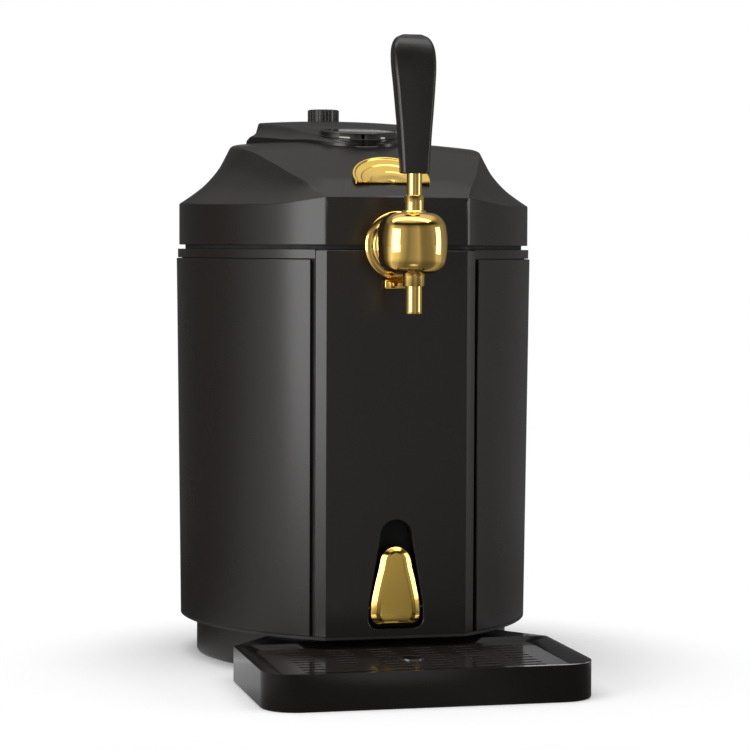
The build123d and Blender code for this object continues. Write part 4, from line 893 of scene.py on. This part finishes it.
@dataclass
class Tap:
    """The plated tap: stepped rosette, rounded body, nozzle, lock tab, spindle and handle."""

    centre_y: float = -190.0
    middle: float = 308.5
    shank: float = 307.0
    width: float = 46.0
    depth: float = 38.0
    face_radius: float = 30.0
    face_turn: float = 33.0
    corner_radius: float = 14.6
    back_radius: float = 7.0
    rise_radius: float = 60.0
    rise_turn: float = 11.0
    shoulder_radius: float = 11.8

    @property
    def foot(self) -> Vector:
        """Where the spindle's axis meets the ground."""
        return ALONG * self.centre_y

    def bow(self, angle: float, wide: float, tight: float, turn: float) -> Point:
        """A point of a crowned face that turns into a tighter corner.

        Args:
            angle: Direction of the surface's normal, in degrees off the face's middle.
            wide: Radius of the face.
            tight: Radius of the corner.
            turn: Angle at which the corner starts, in degrees.

        Returns:
            Distance along the face from its middle, and drop below its top.
        """
        a, b = math.radians(angle), math.radians(turn)
        if a <= b:
            return wide * math.sin(a), wide * (1 - math.cos(a))
        return (wide * math.sin(b) + tight * (math.sin(a) - math.sin(b)),
                wide * (1 - math.cos(b)) + tight * (math.cos(b) - math.cos(a)))

    def body(self) -> None:
        """The pillow-shaped block that the plug works in, with its neck and spout collar."""
        right = []
        for i in range(19):
            x, drop = self.bow(i * 5, self.face_radius, self.corner_radius, self.face_turn)
            right.append((x, drop - self.depth / 2))
        back = self.back_radius
        right += arc((self.width / 2 - back, self.depth / 2 - back), back, range(10, 100, 10))
        plan = right + [(-x, y) for x, y in reversed(right[1:])]
        sections = []
        for i in range(-20, 21):
            rise, inset = self.bow(abs(i) * 4.5, self.rise_radius, self.shoulder_radius, self.rise_turn)
            z = self.middle + math.copysign(rise, i)
            wide, deep = 1 - inset * 2 / self.width, 1 - inset * 2 / self.depth
            row = [Vector((x * wide, self.centre_y + y * deep, z)) for x, y in plan]
            sections.append(row + [row[0]])
        poles = [[Vector((0, self.centre_y, row[0].z))] * len(row) for row in (sections[0], sections[-1])]
        made = Surface().skin([poles[0], *sections, poles[1]])
        made.turn([(6.9, 330.9), (8.0, 330.9), (8.3, 330.6), (8.5, 330.1), (9.0, 329.5), (10.2, 328.8), (12.2, 327.8),
                   (14.0, 326.4), (15.0, 324)], self.foot, UP)
        made.turn([(5.9, 279), (7.2, 279), (7.5, 279.3), (7.5, 286.0), (7.9, 287.0), (8.8, 288.0), (8, 291)],
                  self.foot, UP)
        made.piece("tap_block", Body.HOUSING, PLATED_BRASS, "tap_body", sharp=50, slot="gold")

    def rosette(self) -> None:
        """The stepped flange against the front and the sleeve from it to the body."""
        steps = [(10.3, -143.95), (23.6, -143.95), (24, -144.4), (24, -146.4), (23.1, -147.3), (20.6, -147.7),
                 (19.9, -148.6), (19.6, -150.6), (18.6, -151.5), (16.9, -151.8), (16.3, -152.6), (15.6, -154.6),
                 (14.2, -155.6), (12.9, -156.6), (12.5, -158), (12.5, -172.5), (10.3, -172.5)]
        made = Surface().turn(steps, UP * self.shank, ALONG, FINE)
        made.piece("tap_flange", Body.HOUSING, PLATED_BRASS, "tap_rosette", sharp=40, slot="gold")

    def lock_tab(self) -> None:
        """The small catch under the flange."""
        made = Surface().block(Vector((21, 6.05, 6.5)), Vector((0, -146.97, 279.75))).soften(reach=0.9, angle=30)
        made.block(Vector((14, 1.2, 3.2)), Vector((0, -150.3, 279.9))).soften(reach=0.4, angle=60, steps=2)
        made.piece("tap_catch", Body.HOUSING, PLATED_BRASS, "tap_lock_tab", slot="gold")

    def nozzle(self) -> None:
        """The outlet tube with its turned lip."""
        profile = [(3.0, 260.2), (3.2, 260), (5.2, 260), (5.6, 260.3), (5.7, 260.9), (5.85, 261.3), (5.85, 261.8),
                   (5.85, 279), (3.0, 279)]
        made = Surface().turn(profile, self.foot, UP, 64, full=True)
        made.piece("outlet_nozzle", Body.HOUSING, PLATED_BRASS, "tap_nozzle", sharp=40, slot="gold")

    def spindle(self) -> None:
        """The lever's collar and rod, over its ball and the toe inside the body."""
        profile = [(0, 324.3), (3.4, 325.2), (5.6, 327.3), (6.7, 330), (6.75, 331), (6.75, 340.5), (6.5, 340.9),
                   (6.0, 341), (5.6, 341.15), (5.3, 341.5), (5.3, 342), (5.3, 357)]
        made = Surface().turn(profile, self.foot, UP, 64).rod(4.6, 357, 362, self.foot, steps=40)
        made.turn([(0, 309), (1.6, 307.4), (3.0, 308), (3.2, 309), (3.0, 326), (0, 326)], self.foot, UP, 32)
        made.piece("lever_spindle", Body.LEVER, PLATED_BRASS, "tap_lever", sharp=40, slot="gold")

    def handle(self) -> None:
        """The paddle: flat faces, broad bevels, a round top that leans back."""
        width = ((356, 19), (370, 20.6), (385, 22.5), (400, 25), (415, 27.3), (427, 29.2), (435, 29.6), (441, 28.8),
                 (446, 26), (449.5, 21), (451.3, 13))
        depth = ((356, 13), (385, 13.5), (415, 14.5), (433, 14.5), (444, 13), (449, 10), (451.3, 5))
        lean = ((356, -190.5), (385, -190.2), (415, -188.8), (433, -186.2), (444, -183.4), (451.3, -180.9))
        levels = (356, 356.6, 363, 370, 378, 385, 393, 400, 408, 415, 421, 427, 431, 435, 438, 441, 443.5, 446, 448,
                  449.5, 450.6, 451.3)
        sections = []
        for z in levels:
            w, t, y = (smooth_curve(c, z) for c in (width, depth, lean))
            broken = 0.5 if z == levels[0] else 0.0
            w, t = w / 2 - broken, t / 2 - broken
            b = min(1.7, t * 0.4)
            inner = w - b * 1.1
            corners = ((-inner, -t), (-w, -t + b), (-w, t - b), (-inner, t), (inner, t), (w, t - b), (w, -t + b),
                       (inner, -t), (-inner, -t))
            sections.append([Vector((x, y + d, z)) for x, d in corners])
        made = Surface().skin(sections).capped()
        made.soften(reach=0.45, angle=18, steps=2,
                    keep=lambda edge: abs((edge.verts[0].co - edge.verts[1].co).normalized().z) > 0.5)
        made.piece("handle_paddle", Body.LEVER, HANDLE_ABS, "tap_handle", sharp=24, slot="black_plastic")


# ------------------------ the drain lever


@dataclass
class DrainLever:
    """The plated drop-shaped lever in the front panel."""

    bottom: float = 38.5
    top: float = 94.0
    back: float = -140.15
    edge: float = -142.35
    face: float = -145.15
    half: float = 18.0
    crown: float = 11.2

    def outline(self, inset: float) -> list[Point]:
        """The drop's outline, moved in.

        Args:
            inset: How far it is moved in.

        Returns:
            Its points, counterclockwise from the foot.
        """
        half = self.half - inset
        corner = max(7.5 - inset * 0.5, 1.5)
        points = arc((half - corner, self.bottom + inset * 0.45 + corner), corner, range(-90, 1, 15))
        for x, z in ((17.95, 48), (17.6, 54), (16.6, 60), (15.3, 66), (13.9, 72), (12.3, 78)):
            points.append((x - inset * 0.97, z))
        middle = self.top - self.crown + inset * 0.35
        points += arc((0, middle), self.crown - inset, [7.5 * i for i in range(1, 13)])
        return points + [(-x, z) for x, z in reversed(points[:-1])]

    def build(self) -> None:
        """Builds the lever from nested outlines, back to front."""
        rings = [(0.4, self.back), (0, self.back - 0.3), (0, self.edge + 0.3), (0.03, self.edge + 0.1),
                 (0.15, self.edge), (0.5, self.edge - 0.2), (3.6, self.edge - 1.8), (3.8, self.edge - 1.89),
                 (4.1, self.edge - 1.99), (5.9, self.edge - 2.6), (6.2, self.edge - 2.69), (6.6, self.face),
                 (7.2, self.face)]
        sections = [[Vector((x, y, z)) for x, z in self.outline(inset)] for inset, y in rings]
        made = Surface().skin([row + [row[0]] for row in sections]).capped()
        made.piece("drain_drop", Body.DRAIN_HANDLE, PLATED_ABS, "drain_lever", sharp=50, slot="gold_plastic")


# ------------------------ the carried-over nodes


@dataclass
class CarriedNodes:
    """The frame's own nodes that keep their shape, each with its finish."""

    nodes: dict[str, Thing]

    def finishes(self) -> dict[str, tuple[Finish, float]]:
        """Sorts the nodes by what they are made of.

        Returns:
            Finish and width of the broken edge of each node.
        """
        groups: tuple[tuple[Finish, float, str], ...] = (
            (BODY_ABS, 0.5, "front_panel side_panel_left side_panel_right rear_panel"),
            (BODY_ABS, 0.4, "foot_base rear_cover top_deck"),
            (BODY_ABS, 0.3, "regulator_knob"),
            (GLOSS_ABS, 0.7, "drip_tray"),
            (COATED_STEEL, 0.3, "drip_grille"),
            # the lever's pocket takes the darker ABS, painted shade for the recess
            (POCKET_SHADE_ABS, 0.2, "lever_recess"),
            (INNER_ABS, 0.0, "gas_bay bottom_plate corner_posts lid_liner latch_yoke fan_frame "
                             "fan_rotor drain_valve_housing drain_plug power_inlet coupler_dock keg_coupler"),
            (PLATED_BRASS, 0.0, "tap_shank shank_nut valve_plunger"),
            (BEAD_FOAM, 0.0, "insulation_jacket floor_insulation"),
            (SPUN_ALUMINIUM, 0.0, "cooling_liner cold_block heat_sink cartridge_sleeve"),
            (ZINC_STEEL, 0.0, "case_screws hinge_pin hinge_bracket latch_pin tap_bracket drain_lever_pin "
                              "drain_lever_spring regulator_body"),
            (ALUMINA, 0.0, "peltier_module"),
            (SOLDER_MASK, 0.0, "power_board control_board"),
            (NITRILE, 0.0, "foot_pads lid_gasket plunger_seal"),
            (SILICONE, 0.0, "drain_tube beer_hose"),
        )
        return {name: (finish, bevel) for finish, bevel, names in groups for name in names.split()}

    def build(self) -> None:
        """Dresses every node, known or not, so that none is left plain."""
        table = self.finishes()
        for name, node in self.nodes.items():
            dress(node, *table.get(name, (INNER_ABS, 0.0)))
        LOG.info("dressed %d nodes, %d by default", len(self.nodes), len(set(self.nodes) - set(table)))


# ------------------------ the studio


@dataclass
class Studio:
    """Pale floor, soft lamps, a white surround and the camera."""

    azimuth: float = -13.366
    pitch: float = 2.965
    roll: float = 0.236
    lens: float = 119.0
    stand: Vector = Vector((-0.4185, -1.8376, 0.3061))
    aim: float = 0.25
    cove: float = 0.26
    cove_ahead: float = 0.03
    cove_turn: Point = (-0.35, 0.0)
    cove_rise: Point = (0.3, 0.55)
    ceiling: float = 0.9
    ceiling_rise: Point = (0.66, 0.85)
    rear: tuple[float, float, float] = (0.23, 0.97, 0.0)
    rear_cone: Point = (0.98, 0.994)
    floor_half: float = 6.0
    floor_tone: float = 0.94
    floor_lift: float = 0.1
    shadow_middle: tuple[float, float, float] = (0.0, -0.1, 0.0)
    shadow_fade: Point = (0.165, 0.3)
    mirror_middle: tuple[float, float, float] = (0.0, -0.4, 0.0)
    mirror_fade: Point = (0.02, 0.08)
    near_fade: Point = (0.5, 1.0)
    near_share: float = 0.55
    walls: Curve = ((-82, 1.0), (-72, 1.3), (-66, 0.8), (-38, 0.6), (-28, 0.45), (-18, 0.26), (2, 0.42), (9, 0.52),
                    (13, 0.36), (17, 0.24), (26, 0.2), (42, 0.25), (54, 0.4), (80, 0.35), (100, 0.3), (120, 0.22),
                    (150, 0.1), (176, 0.1), (-160, 0.09), (-137, 0.08), (-115, 0.12), (-100, 0.35), (-92, 0.7))
    ahead: Curve = ((-76, 1.0), (-66, 1.5), (-40, 1.5), (-30, 1.0), (50, 1.0), (56, 1.8), (72, 1.8), (80, 1.0))

    def camera(self) -> None:
        """Places the camera on its measured stand."""
        az, tilt, roll = (math.radians(v) for v in (self.azimuth, self.pitch, self.roll))
        back = Vector((math.sin(az) * math.cos(tilt), -math.cos(az) * math.cos(tilt), math.sin(tilt)))
        right = Vector((math.cos(az), math.sin(az), 0))
        up = back.cross(right)
        x_axis = right * math.cos(roll) + up * math.sin(roll)
        y_axis = up * math.cos(roll) - right * math.sin(roll)
        data = bpy.data.cameras.new("studio_camera")
        data.lens = self.lens
        data.sensor_width = 36.0
        thing = put("studio_camera", data)
        turn = Matrix((x_axis, y_axis, back)).transposed().to_4x4()
        thing.matrix_world = Matrix.Translation(self.stand) @ turn
        bpy.context.scene.camera = thing

    def lamp(self, name: str, azimuth: float, height: float, away: float, size: Point, power: float) -> None:
        """A softbox that looks at the object's middle.

        Args:
            name: The lamp's name.
            azimuth: Degrees from the front, to the right.
            height: Height of its middle in metres.
            away: Distance from the object's axis in metres.
            size: Width and height in metres.
            power: Brightness of its face, where a white wall in full light is 1.
        """
        data = bpy.data.lights.new(name, "AREA")
        data.shape = "RECTANGLE"
        data.size, data.size_y = size
        data.energy = power * math.pi * size[0] * size[1]
        place = heading(azimuth - 90) * away + UP * height
        aim = UP * self.aim - place
        turn = aim.to_track_quat("-Z", "Y").to_matrix().to_4x4()
        put(name, data).matrix_world = Matrix.Translation(place) @ turn

    def around(self, graph: Graph, way: Any, levels: Curve) -> Any:
        """A level that follows the azimuth of a direction.

        Args:
            graph: The node tree that needs it.
            way: The direction, as a vector.
            levels: Pairs of azimuth in degrees and level, of which the last is also the ramp's two ends.

        Returns:
            The level's output.
        """
        sweep = graph.add("ShaderNodeTexGradient", {"Vector": way}, "Fac", gradient_type="RADIAL")
        level_of = graph.add("ShaderNodeValToRGB", {"Fac": sweep}, "Color")
        stops = level_of.node.color_ramp.elements
        for azimuth, level in levels:
            stops.new(((azimuth + 90) / 360) % 1.0).color = (level, level, level, 1)
        for end in (stops[0], stops[-1]):
            end.color = (levels[-1][1],) * 3 + (1,)
        return level_of

    def floor(self) -> None:
        """A pale floor that reads white to the camera and keeps the object's shadow."""
        made = Surface()
        bmesh.ops.create_grid(made.bm, x_segments=8, y_segments=8, size=self.floor_half / MM)
        mesh = made.mesh("studio_floor")
        material = bpy.data.materials.new("matt_white_vinyl")
        material.use_nodes = True
        graph = Graph(material.node_tree)
        place = graph.add("ShaderNodeTexCoord", out="Object")
        matt = graph.add("ShaderNodeBsdfDiffuse", {"Color": (self.floor_tone,) * 3 + (1,)})
        lifted = graph.add("ShaderNodeAddShader", {0: matt, 1: graph.glow(WHITE, self.floor_lift)})
        # For the camera: the lit floor near the object, fading into plain white.
        away = graph.vectors("DISTANCE", {0: place, 1: self.shadow_middle})
        sheet = graph.shaders(graph.ramp(away, *self.shadow_fade, soft=True), lifted, graph.glow(WHITE, 1.0))
        # For reflections: the room's levels, a little dimmer close to the object.
        close = graph.ramp(graph.vectors("LENGTH", {0: place}), *self.near_fade, (self.near_share, 1.0))
        strength = graph.maths("MULTIPLY", self.around(graph, place, self.ahead), close)
        dusk = graph.glow(self.around(graph, place, self.walls), strength)
        ahead = graph.vectors("DISTANCE", {0: place, 1: self.mirror_middle})
        image = graph.shaders(graph.ramp(ahead, *self.mirror_fade, soft=True), lifted, dusk)
        path = graph.add("ShaderNodeLightPath").node.outputs
        seen = graph.maths("MAXIMUM", path["Is Camera Ray"], path["Is Transmission Ray"])
        first = graph.shaders(path["Is Glossy Ray"], matt, image)
        graph.add("ShaderNodeOutputMaterial", {"Surface": graph.shaders(seen, first, sheet)})
        mesh.materials.append(material)
        thing = put("studio_floor", mesh)

    def surround(self) -> None:
        """A white wall for the camera, and a grey room with pale sides for reflections and fill."""
        world = bpy.data.worlds.new("studio_room")
        bpy.context.scene.world = world
        world.use_nodes = True
        graph = Graph(world.node_tree)
        way = graph.add("ShaderNodeTexCoord", out="Generated")
        parts = graph.add("ShaderNodeSeparateXYZ", {"Vector": way}).node.outputs
        depth = graph.ramp(parts["Y"], *self.cove_turn, (self.cove_ahead, self.cove))
        low, high = (graph.ramp(parts["Z"], *rise, soft=True) for rise in (self.cove_rise, self.ceiling_rise))
        cove = graph.colours(low, self.around(graph, way, self.walls), depth)
        mixed = graph.colours(high, cove, (self.ceiling,) * 3 + (1,))
        room = graph.glow(mixed, 1.0, "ShaderNodeBackground")
        white = graph.glow(WHITE, 1.0, "ShaderNodeBackground")
        wall = graph.ramp(graph.vectors("DOT_PRODUCT", {0: way, 1: self.rear}), *self.rear_cone)
        path = graph.add("ShaderNodeLightPath").node.outputs
        bent = graph.maths("MAXIMUM", path["Is Glossy Ray"], path["Is Transmission Ray"])
        seen = graph.maths("MAXIMUM", graph.maths("MULTIPLY", bent, wall), path["Is Camera Ray"])
        graph.add("ShaderNodeOutputWorld", {"Surface": graph.shaders(seen, room, white)})

    def build(self) -> None:
        """Sets the camera, the lamps, the floor, the surround and the plain colour view."""
        self.camera()
        self.lamp("left_softbox", azimuth=-52, height=0.36, away=1.7, size=(0.95, 0.9), power=4.6)
        self.lamp("right_softbox", azimuth=62, height=0.36, away=1.7, size=(0.42, 0.9), power=4.4)
        self.lamp("top_softbox", azimuth=-20, height=1.9, away=0.5, size=(3.2, 0.7), power=2.6)
        self.floor()
        self.surround()
        bpy.context.scene.view_settings.view_transform = "Standard"


# ------------------------ putting it together


def main() -> None:
    """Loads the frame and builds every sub-assembly in order."""
    logging.basicConfig(level=logging.INFO, format="%(name)s %(message)s")
    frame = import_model()
    Studio().build()
    CarriedNodes(frame["nodes"]).build()
    lid = Lid()
    lid_skin = lid.build()
    # dark strips inside the lid's gap and over the panels: painted shade in the gaps
    lid.strip("lid_gap_shadow_strip", Body.LID, inset=4.6, low=304.06, high=310, gap=16)
    lid.strip("panel_gap_shadow_strip", Body.HOUSING, inset=2.2, low=295.2, high=298.6, gap=0)
    lid.lugs()
    Hood().build(lid_skin)
    face = ReadOut()
    for make in (face.foot, face.collar, face.lens, face.prints):
        make()
    Latch().build(lid)
    tap = Tap()
    for make in (tap.body, tap.rosette, tap.lock_tab, tap.nozzle, tap.spindle, tap.handle):
        make()
    DrainLever().build()


if __name__ == "__main__":
    main()
